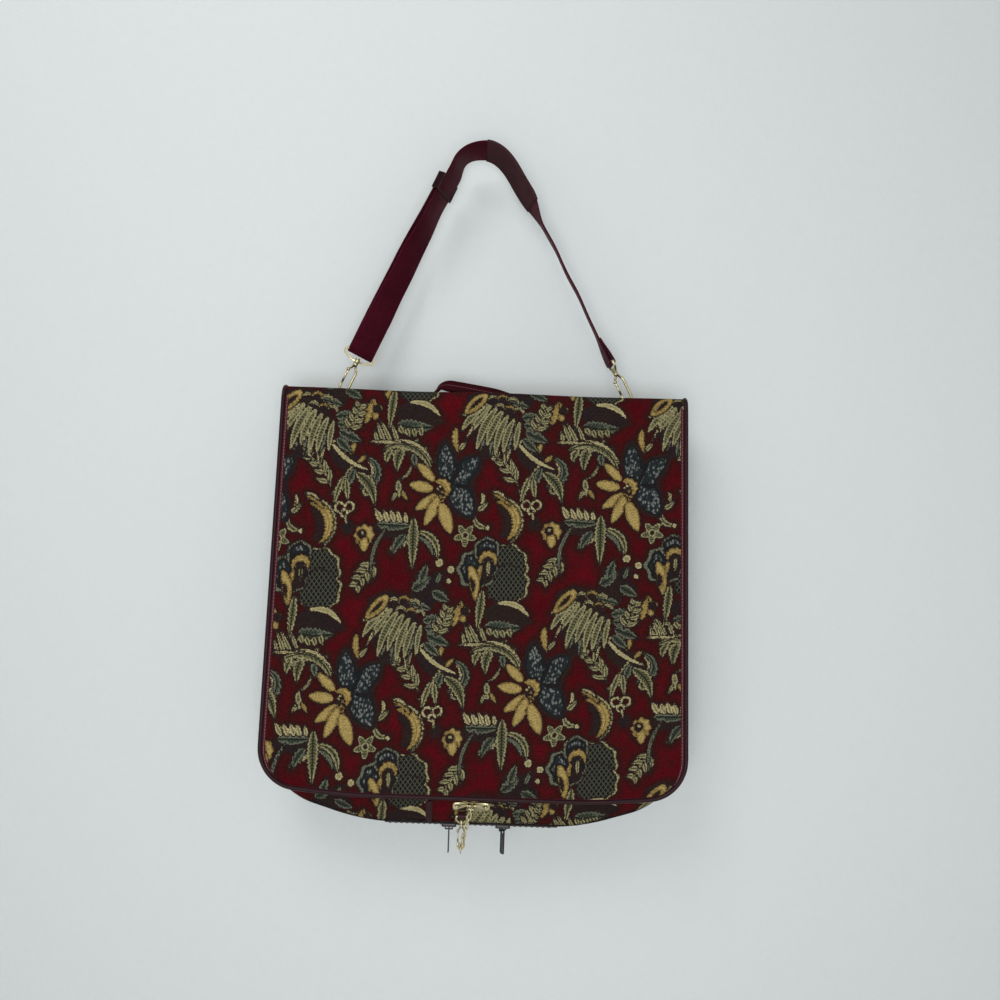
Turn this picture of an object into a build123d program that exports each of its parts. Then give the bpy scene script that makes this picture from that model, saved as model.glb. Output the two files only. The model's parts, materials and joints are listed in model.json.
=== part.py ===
from build123d import *
import math
import os

# Bi-fold garment bag in tapestry cloth, zipped shut and hung by its shoulder strap.
# The origin is under the strap's crown, where it hangs. X is to the right, Y to the back, Z up.

# Clearances
seat_gap = 0.2          # between pieces that are sewn or riveted together
run_gap = 0.3           # between pieces that move on each other
overrun = 5.0           # how far a cut runs past its piece

# Bag body: two leaves that hang from a folded crest
crest_drop = 358.0      # hang point down to the crest
bag_offset = 10.0       # the bag's middle lies this far right of the hang point
crest_width = 567.0     # between the piping lines at the crest
panel_width = 597.0     # between the piping lines at the bottom corners
panel_height = 568.0    # crest to the bottom of the front panel
panel_rise = 12.0       # bottom corners above the middle of the bottom edge
corner_radius = 50.0
knee_radius = 300.0     # soft bend of the bottom edge beside its straight run
knee_share = 0.5        # end of that straight run, in half widths
leaf_top = 28.0         # one leaf's thickness at the crest
leaf_low = 46.0         # and at the bottom
slit = 2.0              # gap between the two leaves
slit_height = 40.0      # top of that gap below the crest
crest_round = 16.0      # height of the crest's soft front roll
terrace_depth = 24.0    # level strip behind the roll, which carries rings and handle
terrace_share = 0.8     # its depth below the crest, in crest rolls
keel_drop = 41.0        # zip line below the front panel's bottom edge
keel_rise = 45.0
keel_radius = 100.0
keel_inset = 2.5        # gusset inside the piping line
zip_band = 10.0         # width of the gusset's flat band under the zip
inner_drop = 8.0        # inner faces below the front panel's bottom edge
inner_inset = 9.0
rear_keel_drop = 32.0   # rear gusset below the panel's bottom edge

# Piping round the outer panel
welt_radius = 3.5
welt_crest_bend = 12.0

# Small round bars
bend_cuts = 3           # straight cuts in a bend
prism_sides = 8

# Zip
tape_thickness = 1.0
tooth_width = 5.6
tooth_length = 3.6
tooth_height = 2.2
tooth_pitch = 8.0
teeth_run = 236.0       # length of the row of teeth on the straight run
zip_side_share = 0.75   # how far up the sides the zip runs
slider_length = 21.0
slider_width = 11.0
slider_wall = 1.8
slider_corner = 3.0
bail_span = 12.0
bail_width = 2.2
bail_drop = 5.2
bail_wall = 1.5
slider_left_x = -31.0   # from the bag's middle
slider_right_x = 45.0
pull_length = 35.0
pull_width = 8.4
pull_thickness = 1.8
pull_window = 4.6
pull_window_height = 6.0
pull_bar = 1.8
pull_hole = 3.2
pull_turn = 35.0        # the right pull hangs turned, in degrees

# Slot plate, chain and chain clip
plate_width = 52.0
plate_height = 13.0
plate_thickness = 1.6
plate_corner = 4.0
plate_down = 14.0       # its middle below the front piping, along the gusset
slot_width = 11.0
slot_height = 4.0
rivet_inset = 6.0
rivet_radius = 2.4
rivet_dome = 1.2
rivet_taper = 35.0      # in degrees
staple_span = 9.0
staple_radius = 1.1
staple_reach = 5.6
link_wire = 1.8
link_inside = 2.8       # clear width in a chain link
link_count = 8
end_ring_inside = 8.0
clip_x = -13.0          # from the bag's middle
clip_share = 0.72       # the chain clip's size against a strap hook's
clip_tab_width = 11.0
clip_tab_wall = 1.6
clip_tab_foot = 13.0
clip_tab_reach = 5.0    # its eye in front of the gusset

# Rings and their tabs on the terrace
ring_share = 0.7513     # between the two rings, in crest widths
ring_wire = 3.2
ring_inside = 19.0
ring_height = 12.0      # between the centres of its two bars
ring_bend = 5.0
tab_wall = 2.0
tab_length = 30.0

# Strap hooks
hook_bar = 3.4
bow_inside = 9.2        # clear width between the hook's two arms
hook_play = 0.8         # between the ring and the bottom of the bow
bow_bend_share = 0.93   # bend at the bottom of the bow, in half widths
nose_height = 9.0       # nose above the ring's bar
pivot_height = 30.0     # gate's pivot above the ring's bar
neck_height = 38.0
neck_radius = 3.6
neck_length = 5.0
shank_radius = 2.0
shank_cap = 1.8
boss_radius = 3.9
boss_length = 4.6
loop_height = 12.0      # loop's bar above its swivel
loop_base_share = 0.45  # loop's foot, in loop widths
loop_side_share = 0.52  # loop's straight sides, in loop heights
loop_bar = 3.2
loop_corner = 2.4
loop_slack = 1.6         # inside the loop, at each side of the webbing
gate_thickness = 2.4
gate_width = 2.8
knuckle_radius = 2.3
pin_radius = 0.9
cheek_wall = 1.2
stud_radius = 1.3
stud_height = 1.6
stud_share = 0.7        # thumb stud's place down the gate
left_lean = 24.41       # strap limbs lean from upright, in degrees
right_lean = 27.64
left_face = 20.0        # the left end's webbing is turned this far from facing the front
right_face = 90.0

# Webbing and its route over the crown
webbing_width = 38.0
webbing_thickness = 2.2
crown_left = -36.0
crown_right = 24.0
right_knee_x = 77.0
right_knee_drop = 88.0
run_share = 0.45         # bends use this much of the shorter run beside them
strap_tail = 40.0        # sewn double end at the right hook
turn_shares = [0, 0.2, 0.34, 0.41, 0.49, 0.6, 0.7, 1]    # where the webbing's turn is set
turn_angles = [left_face, 46, 66, 66, 52, 66, right_face, right_face]
strap_stations = 24
return_stations = 8
tail_stations = 6

# Three-bar slide
slide_along = 272.0      # from the left loop's bar, along the strap
slide_flat_share = 0.035
slide_bar = 3.0
slide_height = 25.0

# Carry handle on the terrace
handle_span = 160.0
handle_width = 20.0
handle_thickness = 5.0
handle_edge = 1.6
handle_lift = 17.0       # its high left end above the crest
handle_sink = 2.0        # its low right end below the crest
handle_foot_share = 0.46
handle_roll_share = 0.41
handle_fall_share = 0.34
handle_tail_share = 0.3
handle_lean = 26.0       # the strap leans back, in degrees
handle_lean_shares = [0, 0.13, 0.3, 0.62, 0.87, 1]
handle_stations = 16
patch_length = 34.0
patch_width = 21.0
patch_thickness = 1.6
patch_corner = 5.0

crest_z = -crest_drop
panel_low = crest_z - panel_height
keel_low = panel_low - keel_drop
terrace_z = crest_z - terrace_share * crest_round
crest_half = crest_width / 2
ring_spacing = ring_share * crest_width
panel_half = panel_width / 2
knee_x = knee_share * panel_half
slit_y = -terrace_depth / 2
front_y = slit_y - slit / 2
rear_y = slit_y + slit / 2
welt_seat = (welt_radius + seat_gap) * math.sqrt(2)
crest_inset = welt_radius + seat_gap
band_y = front_y - leaf_low / 2


def outline_plane(y_top, z_top, y_low, z_low):
    up = Vector(0, y_top - y_low, z_top - z_low)
    plane = Plane(origin=(bag_offset, y_top, z_top), x_dir=(1, 0, 0), z_dir=Vector(1, 0, 0).cross(up))
    return plane, up.length


def outline_points(reach, half_top, half_low, rise):
    left = [(-half_top, 0), (-half_low, rise - reach), (-knee_x, -reach)]
    return left + [(-x, y) for x, y in reversed(left)]


def layer(y_top, z_top, y_low, z_low, half_top, half_low, rise, corner):
    """One slice of the body, an upright outline with round bottom corners."""
    plane, reach = outline_plane(y_top, z_top, y_low, z_low)
    points = outline_points(reach, half_top, half_low, rise)
    edge = FilletPolyline(*points, radius=[corner, knee_radius, knee_radius, corner])
    return plane * make_face(edge + Line(points[-1], points[0]))


lay_up = (Align.CENTER, Align.CENTER, Align.MIN)


def wire_path(path):
    """The same path with each bend as a few straight cuts, as a cast or bent wire shows them."""
    points = []
    for edge in path.edges():
        cuts = bend_cuts if edge.geom_type == GeomType.CIRCLE else 1
        points += [edge @ (step / cuts) for step in range(cuts)]
    return Polyline(*points, path.edges()[-1] @ 1)


def prism(radius, height, align=(Align.CENTER, Align.CENTER, Align.CENTER)):
    shape = extrude(RegularPolygon(radius, prism_sides), height)
    return shape if align[2] == Align.MIN else Pos(0, 0, -height / 2) * shape


def bag_body():
    top = crest_half - crest_inset
    flat = leaf_low / 2 - zip_band / 2
    front = [
        layer(front_y - leaf_top, crest_z - crest_round, front_y - leaf_low, panel_low + welt_seat,
              crest_half - welt_seat, panel_half - welt_seat, panel_rise, corner_radius - welt_seat),
        layer(front_y - leaf_top + welt_seat / 2, crest_z - crest_round / 2, front_y - leaf_low + welt_seat,
              panel_low, top, panel_half, panel_rise, corner_radius),
    ]
    for side in (-1, 1):
        front.append(
            layer(front_y - leaf_top / 2 + side * zip_band / 2, crest_z, band_y + side * zip_band / 2, keel_low,
                  top, panel_half - keel_inset, keel_rise, keel_radius))
    inner = (top, panel_half - inner_inset, keel_rise, keel_radius)
    front.append(layer(front_y, terrace_z, front_y, panel_low - inner_drop, *inner))
    rear = [
        layer(rear_y, terrace_z, rear_y, panel_low - inner_drop, *inner),
        layer(slit_y + terrace_depth, terrace_z, rear_y + flat, panel_low - rear_keel_drop,
              top, panel_half - keel_inset, keel_rise, keel_radius),
        layer(rear_y + leaf_top - welt_seat / 4, terrace_z - crest_round / 4, rear_y + leaf_low - welt_seat,
              panel_low, top, panel_half, panel_rise, corner_radius),
        layer(rear_y + leaf_top, terrace_z - crest_round, rear_y + leaf_low, panel_low + welt_seat,
              crest_half - welt_seat, panel_half - welt_seat, panel_rise, corner_radius - welt_seat),
    ]
    whole = loft(front + rear, ruled=True)
    gap_height = crest_z - slit_height - keel_low
    gap = Pos(bag_offset, slit_y, keel_low + gap_height / 2 - overrun / 2) * Box(
        panel_width + 2 * overrun, slit, gap_height + overrun)
    return whole - gap


def welt_point(side, y_top, z_top, y_low, share_x, drop):
    """A point of the piping line, on the outer panel's own slanting plane."""
    run = (z_top - panel_low - drop) / (z_top - panel_low)
    return Vector(bag_offset + side * share_x, y_top + (y_low - y_top) * run, panel_low + drop)


def edge_piping():
    halves = []
    ends = ((front_y - leaf_top, front_y - leaf_low, crest_z), (rear_y + leaf_top, rear_y + leaf_low, terrace_z))
    for side in (-1, 1):
        legs = []
        for y_top, y_low, z_top in ends:
            legs.append([
                welt_point(side, y_top, z_top, y_low, 0, 0),
                welt_point(side, y_top, z_top, y_low, knee_x, 0),
                welt_point(side, y_top, z_top, y_low, panel_half, panel_rise),
                Vector(bag_offset + side * crest_half, y_top, z_top),
            ])
        bends = [knee_radius, corner_radius, welt_crest_bend]
        path = FilletPolyline(*legs[0], *reversed(legs[1]), radius=bends + bends[::-1])
        start = Plane(origin=path @ 0, z_dir=path % 0)
        halves.append(sweep(start * RegularPolygon(welt_radius, 8), path=path))
    return halves[0] + halves[1]


def zip_line(offset, share_up):
    """The zip's path on the gusset band's middle plane, offset outwards from the cloth."""
    plane, reach = outline_plane(front_y - leaf_top / 2, crest_z, band_y, keel_low)
    half_top = crest_half - crest_inset + offset
    half_low = panel_half - keel_inset + offset
    points = outline_points(reach + offset, half_top, half_low, keel_rise)
    for index, low in ((0, 1), (-1, -2)):
        a, b = Vector(*points[index]), Vector(*points[low])
        points[index] = tuple(b + (a - b) * share_up)[:2]
    bend = keel_radius + offset
    return plane, plane * FilletPolyline(*points, radius=[bend, knee_radius, knee_radius, bend])


def zip_tape():
    plane, path = zip_line(seat_gap + tape_thickness / 2, zip_side_share)
    start = Plane(origin=path @ 0, x_dir=plane.z_dir, z_dir=path % 0)
    return sweep(start * Rectangle(zip_band, tape_thickness), path=path)


tooth_top = keel_low - seat_gap - tape_thickness - seat_gap
tooth_low = tooth_top - tooth_height


def zip_teeth():
    """Interlocking teeth: two rows, each reaching past the middle, joined along the zip's centre."""
    count = int(teeth_run / tooth_pitch)
    comb = Rectangle(teeth_run + tooth_pitch, tooth_width / 4)
    for row, side in ((0, -1), (1, 1)):
        place = Pos(tooth_pitch * (row / 2 - 1 / 4), side * tooth_width / 4)
        comb += place * GridLocations(tooth_pitch, 0, count, 1) * Rectangle(tooth_length, tooth_width / 2)
    return extrude(Plane(origin=(bag_offset, band_y, tooth_low)) * comb, tooth_height)


slider_top = keel_low - seat_gap - tape_thickness - run_gap
slider_low = tooth_low - run_gap - slider_wall
bail_low = slider_low - bail_drop
pull_axis_z = bail_low + bail_wall + pull_bar / 2 + run_gap


def zip_slider(x, turn):
    outer = extrude(Plane.XY.offset(slider_low) * RectangleRounded(slider_length, slider_width, slider_corner),
                    slider_top - slider_low)
    groove_height = slider_top - tooth_low + run_gap
    groove = Pos(0, 0, tooth_low - run_gap + groove_height / 2) * Box(
        slider_length + overrun, tooth_width + 2 * run_gap, groove_height)
    arch = Plane.XZ * Pos(0, slider_low - bail_drop / 2 + slider_wall / 4) * RectangleRounded(
        bail_span, bail_drop + slider_wall / 2, bail_wall)
    hole = Plane.XZ * Pos(0, slider_low - (bail_drop - bail_wall) / 2) * Rectangle(
        bail_span - 2 * bail_wall, bail_drop - bail_wall)
    bail = extrude(arch - hole, bail_width / 2, both=True)
    return Pos(bag_offset + x, band_y, 0) * ((outer - groove) + Rot(Z=turn) * bail)


def zip_pull(x, turn):
    bar = Rot(X=90) * prism(pull_bar / 2, pull_width)
    drop = -pull_bar / 2
    plate = Plane.YZ * Pos(0, -pull_length / 2) * RectangleRounded(pull_width, pull_length, pull_width / 4)
    plate -= Plane.YZ * Pos(0, -pull_window_height / 2) * Rectangle(pull_window, pull_window_height)
    plate -= Plane.YZ * Pos(0, -pull_length + pull_width / 2) * Circle(pull_hole / 2)
    trim = Pos(0, 0, -drop) * Box(pull_width * 2, pull_width * 2, -2 * drop)
    blade = extrude(plate, pull_thickness / 2, both=True) - trim
    return Pos(bag_offset + x, band_y, pull_axis_z) * Rot(Z=turn) * (bar + blade)


def gusset_plane(down):
    """A plane on the front gusset's slope, a distance down from the piping line."""
    upper = Vector(bag_offset, front_y - leaf_low + welt_seat, panel_low)
    lower = Vector(bag_offset, band_y - zip_band / 2, keel_low)
    fall = (lower - upper).normalized()
    return Plane(origin=upper + fall * down, x_dir=(1, 0, 0), z_dir=Vector(1, 0, 0).cross(-fall))


plate_plane = gusset_plane(plate_down).offset(seat_gap)
staple_at = plate_plane.from_local_coords(Vector(0, 0, plate_thickness + staple_reach))


def slot_plate():
    face = RectangleRounded(plate_width, plate_height, plate_corner)
    face -= Pos(0, slot_height) * SlotOverall(slot_width, slot_height)
    for side in (-1, 1):
        face -= Pos(side * (plate_width / 2 - rivet_inset), 0) * Circle(rivet_radius / 2 + run_gap)
    plate = extrude(plate_plane * face, plate_thickness)
    corner = staple_span / 2
    foot = plate_thickness / 2
    path = plate_plane * Plane.XZ * wire_path(FilletPolyline(
        (-corner, foot), (-corner, plate_thickness + staple_reach),
        (corner, plate_thickness + staple_reach), (corner, foot), radius=2 * staple_radius))
    start = Plane(origin=path @ 0, x_dir=plate_plane.y_dir, z_dir=path % 0)
    return plate + sweep(start * RegularPolygon(staple_radius, 6, major_radius=False), path=path,
                         transition=Transition.RIGHT)


def plate_rivets():
    rivets = []
    for side in (-1, 1):
        shank = prism(rivet_radius / 2, plate_thickness + seat_gap, lay_up)
        head = extrude(RegularPolygon(rivet_radius, prism_sides), rivet_dome, taper=rivet_taper)
        rivet = shank + Pos(0, 0, plate_thickness + seat_gap / 2) * head
        rivets.append(plate_plane.location * Pos(side * (plate_width / 2 - rivet_inset), 0, 0) * rivet)
    return Compound(children=rivets)


class HookSizes:
    """The sizes of one snap hook, as a share of the strap hook's, with its loop's own inside width."""

    def __init__(self, share, loop_inside):
        self.bar = hook_bar * share
        self.inside = bow_inside * share
        self.arm = (self.inside + self.bar) / 2
        self.nose = nose_height * share
        self.pivot = pivot_height * share
        self.neck = neck_height * share
        self.neck_radius = neck_radius * share
        self.neck_length = neck_length * share
        self.shank = shank_radius * share
        self.cap = shank_cap * share
        self.boss = boss_radius * share
        self.boss_length = boss_length * share
        self.loop_height = loop_height * share
        self.loop_bar = loop_bar * share
        self.loop_corner = loop_corner * share
        self.gate = gate_thickness * share
        self.gate_width = gate_width * share
        self.knuckle = knuckle_radius * share
        self.pin = pin_radius * share
        self.cheek = cheek_wall * share
        self.stud = stud_radius * share
        self.stud_height = stud_height * share
        self.loop_inside = loop_inside
        self.swivel = self.neck + self.neck_length + run_gap + self.boss_length / 2
        self.bar_at = self.swivel + self.loop_height


def hook_wire(size, line):
    path = Plane.XZ * wire_path(line)
    start = Plane(origin=path @ 0, x_dir=(0, 1, 0), z_dir=path % 0)
    return sweep(start * RegularPolygon(size.bar / 2, 6, major_radius=False), path=path,
                 transition=Transition.RIGHT)


def hook_body(size, held_wire):
    """A cast hook whose bow holds a bar at its origin, with the shank of its swivel at the top."""
    low = -(held_wire / 2 + hook_play + size.bar / 2)
    shoulder = size.pivot
    top = (0, size.neck + size.neck_length / 2)
    bow = hook_wire(size, FilletPolyline(
        (-size.arm, size.nose), (-size.arm, low), (size.arm, low), (size.arm, shoulder), top,
        radius=size.arm * bow_bend_share))
    branch = hook_wire(size, Line(top, (-size.arm, shoulder)))
    fork_half = size.gate / 2 + run_gap + size.cheek
    fork = Pos(-size.arm, 0, shoulder) * Rot(X=90) * Cylinder(size.knuckle, 2 * fork_half)
    room = Pos(-size.arm, 0, shoulder) * Rot(X=90) * Cylinder(size.knuckle + run_gap, size.gate + 2 * run_gap)
    pin = Pos(-size.arm, 0, shoulder) * Rot(X=90) * Cylinder(size.pin, 2 * fork_half)
    swing = Pos(-size.arm, 0, shoulder) * Box(
        2 * size.knuckle + overrun, size.gate + 2 * run_gap, 2 * (size.knuckle + run_gap))
    neck = Pos(0, 0, size.neck) * prism(size.neck_radius, size.neck_length, lay_up)
    shank_top = size.swivel + size.boss_length / 2 + run_gap
    shank = Pos(0, 0, size.neck) * Cylinder(size.shank, shank_top - size.neck, align=lay_up)
    cap = Pos(0, 0, shank_top) * prism(size.neck_radius, size.cap, lay_up)
    return (bow + branch + fork - room - swing) + pin + neck + shank + cap


def hook_gate(size):
    """The sprung gate, from its knuckle down to the hook's nose."""
    tip = size.nose + run_gap
    run = size.pivot - tip
    blade = Pos(-size.arm, 0, tip + run / 2) * Box(size.gate_width, size.gate, run)
    knuckle = Pos(-size.arm, 0, size.pivot) * Rot(X=90) * Cylinder(size.knuckle, size.gate)
    eye = Pos(-size.arm, 0, size.pivot) * Rot(X=90) * Cylinder(size.pin + run_gap / 2, size.gate + overrun)
    stud = Pos(-size.arm, -size.gate / 2 - size.stud_height / 2, size.pivot - run * stud_share) * Rot(X=90) * prism(
        size.stud, size.stud_height)
    return blade + knuckle - eye + stud


def hook_loop(size):
    """The loop above the swivel, with a bar for webbing and a bored boss for the hook's shank."""
    half = (size.loop_inside + size.loop_bar) / 2
    foot = half * loop_base_share
    side = size.bar_at - size.loop_height * loop_side_share
    points = [(-half, size.bar_at), (half, size.bar_at), (half, side), (foot, size.swivel), (-foot, size.swivel),
              (-half, side)]
    frame = chamfer(make_face(Polyline(*points, close=True)).vertices(), size.loop_corner / 2)
    ring = offset(frame, size.loop_bar / 2, kind=Kind.INTERSECTION)
    ring -= offset(frame, -size.loop_bar / 2, kind=Kind.INTERSECTION)
    base = Pos(0, 0, size.swivel) * Cylinder(size.boss, size.boss_length)
    room = Pos(0, 0, size.swivel) * Cylinder(size.shank + run_gap / 2, size.boss_length + overrun)
    return extrude(Plane.XZ * ring, size.loop_bar / 2, both=True) + base - room


strap_hook = HookSizes(1.0, webbing_width + 2 * loop_slack)
tab_outer = ring_wire / 2 + run_gap / 2 + tab_wall
ring_bar_z = terrace_z + seat_gap + tab_outer


class StrapEnd:
    """Where one end of the strap is clipped: the ring's bar in its tab, and the hook's own frame."""

    def __init__(self, side, lean, face):
        self.bar_at = Vector(bag_offset + side * ring_spacing / 2, 0, ring_bar_z)
        self.pull = Vector(-side * math.sin(math.radians(lean)), 0, math.cos(math.radians(lean)))
        across = Vector(self.pull.Z, 0, -self.pull.X)
        self.hold = self.bar_at + self.pull * ring_height
        self.frame = Plane(origin=self.hold, x_dir=across, z_dir=self.pull)
        self.loop_frame = Plane(origin=self.hold, x_dir=across.rotate(Axis((0, 0, 0), tuple(self.pull)), face),
                                z_dir=self.pull)
        self.loop_bar_at = self.hold + self.pull * strap_hook.bar_at


left_end = StrapEnd(-1, left_lean, left_face)
right_end = StrapEnd(1, right_lean, right_face)


def d_ring(end):
    half = (ring_inside + ring_wire) / 2
    points = [(-half, -ring_height), (-half, 0), (half, 0), (half, -ring_height)]
    path = Plane.YZ * wire_path(FilletPolyline(*points, radius=ring_bend))
    start = Plane(origin=path @ 0, x_dir=(1, 0, 0), z_dir=path % 0)
    bow = sweep(start * RegularPolygon(ring_wire / 2, 6, major_radius=False), path=path,
                transition=Transition.RIGHT)
    bar = Pos(0, 0, -ring_height) * Rot(X=90) * Cylinder(ring_wire / 2, 2 * half + ring_wire)
    return end.frame.location * (bow + bar)


def ring_tab(end):
    """A webbing tab folded round the ring's bar, its foot sewn to the terrace."""
    profile = Circle(tab_outer) + Pos(0, -tab_outer + tab_wall / 2) * Rectangle(tab_length, tab_wall)
    profile -= Circle(ring_wire / 2 + run_gap / 2)
    width = ring_inside - 2 * run_gap
    return Pos(*end.bar_at) * extrude(Plane.XZ * profile, width / 2, both=True)


clip_hook = HookSizes(clip_share, clip_tab_width + 2 * loop_slack * clip_share)
clip_plane = gusset_plane(keel_drop * clip_share)
clip_eye = Vector(bag_offset + clip_x, clip_plane.origin.Y - clip_tab_reach, clip_plane.origin.Z)
clip_hold = clip_eye - Vector(0, 0, clip_hook.bar_at)
clip_frame = Plane(origin=clip_hold, x_dir=(1, 0, 0), z_dir=(0, 0, 1))


def clip_tab():
    """A tab on the gusset with an eye for the clip's loop."""
    hole = clip_hook.loop_bar / math.sqrt(2) + run_gap
    outer = hole + clip_tab_wall
    local = clip_plane.to_local_coords(clip_eye)
    tongue = Polyline((local.Y + outer, local.Z), (clip_tab_foot / 2, seat_gap), (-clip_tab_foot / 2, seat_gap),
                      (local.Y - outer, local.Z), close=True)
    profile = make_face(tongue) + Pos(local.Y, local.Z) * Circle(outer) - Pos(local.Y, local.Z) * Circle(hole)
    side = Plane(origin=clip_plane.origin + Vector(clip_x, 0, 0), x_dir=clip_plane.y_dir, z_dir=(1, 0, 0))
    return extrude(side * profile, clip_tab_width / 2, both=True)


def chain_link(half_length, half_width, section):
    """A closed link in its XZ plane, made of two bows with cut corners."""
    flat = half_length - half_width / 2
    bows = []
    for side in (-1, 1):
        path = Plane.XZ * Polyline(
            (-half_width, 0), (-half_width, side * flat), (-half_width / 2, side * half_length),
            (half_width / 2, side * half_length), (half_width, side * flat), (half_width, 0))
        start = Plane(origin=path @ 0, x_dir=(0, 1, 0), z_dir=path % 0)
        bows.append(sweep(start * RegularPolygon(section / 2, 6, major_radius=False), path=path,
                          transition=Transition.RIGHT))
    return bows[0] + bows[1]


clip_bow_at = clip_hold - Vector(0, 0, link_wire / 2 + hook_play + clip_hook.bar / 2)
ring_mid = (end_ring_inside + link_wire) / 2
ring_play = end_ring_inside / 2 - clip_hook.bar / 2 - 2 * run_gap
end_ring_at = clip_bow_at - Vector(0, ring_play, 0)
ring_catch = end_ring_at + Vector(0, -ring_mid, ring_mid) / math.sqrt(2)


def hanger_chain():
    """Links from the plate's staple to a round ring in the clip's bow, each turned a quarter on the last."""
    along = (staple_at - ring_catch).normalized()
    crossing = 2 * link_wire / math.sqrt(3) + seat_gap
    top = staple_at + along * (staple_radius + link_wire / 2 + run_gap)
    low = ring_catch - along * crossing * math.sqrt(2)
    pitch = ((top - low).length - crossing) / link_count
    half_length = (pitch + crossing) / 2
    half_width = (link_inside + link_wire) / 2
    across = Vector(along.Z, 0, -along.X).normalized()
    links = []
    for place in range(link_count):
        middle = top - along * (half_length + place * pitch)
        frame = Plane(origin=middle, x_dir=across, z_dir=along)
        turn = Rot(Z=90 * ((place + 1) % 2))
        links.append(frame.location * turn * chain_link(half_length, half_width, link_wire))
    end_ring = Pos(*end_ring_at) * Rot(Z=90) * chain_link(ring_mid + seat_gap, ring_mid, link_wire)
    return Compound(children=links + [end_ring])


# Strap route, from the left hook's loop over the crown to the right hook's loop
wrap_inside = loop_bar / math.sqrt(2) + seat_gap
layer_offset = wrap_inside + webbing_thickness / 2
route = [
    left_end.loop_bar_at,
    Vector(crown_left, 0, webbing_thickness / 2),
    Vector(crown_right, 0, webbing_thickness / 2),
    Vector(right_knee_x, 0, -right_knee_drop),
    right_end.loop_bar_at,
]


def bend_radius(before, corner, after):
    """The largest arc that two neighbouring runs leave room for."""
    arrive = corner - before
    leave = after - corner
    turn = math.radians(arrive.get_angle(leave))
    return run_share * min(arrive.length, leave.length) / math.tan(turn / 2)


def bend_radii(points):
    return [bend_radius(*points[index - 1:index + 2]) for index in range(1, len(points) - 1)]


def eased(value, places, heights):
    """A smooth curve through some heights, level at each of them."""
    for index in range(len(places) - 1):
        first, last = places[index], places[index + 1]
        if value <= last:
            share = max(0, (value - first) / (last - first))
            ease = share * share * (3 - 2 * share)
            return heights[index] + (heights[index + 1] - heights[index]) * ease
    return heights[-1]


strap_bends = bend_radii(route)
strap_path = FilletPolyline(*route, radius=strap_bends)
print("strap bend radii", [round(radius, 1) for radius in strap_bends])
tail_share = strap_tail / strap_path.length
slide_share = slide_along / strap_path.length


def webbing_frame(place):
    """The webbing's own frame at a share of its length: X across the webbing, Y through it to the back."""
    along = strap_path % place
    across = Vector(along.Z, 0, -along.X)
    turn = eased(place, turn_shares, turn_angles)
    across = across.rotate(Axis((0, 0, 0), tuple(along)), turn)
    return Plane(origin=strap_path @ place, x_dir=across, z_dir=along)


def webbing(first, last, count, lift):
    """A run of webbing that follows the route and its twist, held off the route by a lift."""
    section = Rectangle(webbing_width, webbing_thickness)
    slices = []
    for step in range(count + 1):
        place = first + (last - first) * step / count
        slices.append(webbing_frame(place) * Pos(0, lift(place)) * section)
    return loft(slices, ruled=True)


def main_lift(place):
    shares = [0, slide_share + slide_flat_share, slide_share + 2 * slide_flat_share, 1 - 2 * tail_share, 1]
    return eased(place, shares, [-layer_offset, -layer_offset, 0, 0, -layer_offset])


def tail_lift(place):
    sewn = main_lift(1 - tail_share) + webbing_thickness
    return eased(place, [1 - tail_share, 1], [sewn, layer_offset])


def webbing_wrap(place, side, arc):
    """Webbing round a bar at one end of the route, through half a turn or a quarter."""
    outer = wrap_inside + webbing_thickness
    ring = Circle(outer) - Circle(wrap_inside)
    ring &= Pos(arc * outer, side * outer) * Rectangle(2 * outer, 2 * outer)
    frame = webbing_frame(place)
    cross = Plane(origin=frame.origin, x_dir=frame.y_dir, z_dir=frame.x_dir)
    return extrude(cross * ring, webbing_width / 2, both=True)


def shoulder_strap():
    strap = webbing(0, 1, strap_stations, main_lift)
    tail = webbing(1 - tail_share, 1, tail_stations, tail_lift)
    return strap + tail + webbing_wrap(0, -1, 0) + webbing_wrap(1, 1, 0)


def strap_return():
    """The webbing's way back from the left loop to the slide, where it is sewn over the middle bar."""
    first = seat_gap / strap_path.length
    back = webbing(first, slide_share, return_stations, lambda place: layer_offset)
    return back + webbing_wrap(slide_share, 1, 1)


def strap_slide():
    """Three-bar slide: outer bars before the webbing, the middle bar behind it."""
    frame = webbing_frame(slide_share)
    side_x = webbing_width / 2 + run_gap + slide_bar / 2
    front = -layer_offset - webbing_thickness / 2 - run_gap - slide_bar / 2
    middle_radius = wrap_inside - seat_gap
    cheeks = []
    for side in (-1, 1):
        depth = middle_radius - front + slide_bar / 2
        cheeks.append(Pos(side * side_x, (middle_radius + front - slide_bar / 2) / 2, 0) * Box(
            slide_bar, depth, slide_height))
    outer = [Pos(0, front, side * (slide_height - slide_bar) / 2) * Box(2 * side_x, slide_bar, slide_bar)
             for side in (-1, 1)]
    middle = Rot(Y=90) * Cylinder(middle_radius, 2 * side_x)
    return frame.location * (middle.fuse(*cheeks, *outer))


patch_top = terrace_z + seat_gap + patch_thickness
handle_low = patch_top + seat_gap + handle_thickness / 2
handle_end = handle_span / 2 + patch_length * handle_tail_share
handle_route = [
    Vector(bag_offset - handle_end, 0, handle_low),
    Vector(bag_offset - handle_foot_share * handle_span, 0, handle_low),
    Vector(bag_offset - handle_roll_share * handle_span, 0, crest_z + handle_lift),
    Vector(bag_offset + handle_fall_share * handle_span, 0, crest_z - handle_sink),
    Vector(bag_offset + handle_foot_share * handle_span, 0, handle_low),
    Vector(bag_offset + handle_end, 0, handle_low),
]


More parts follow.
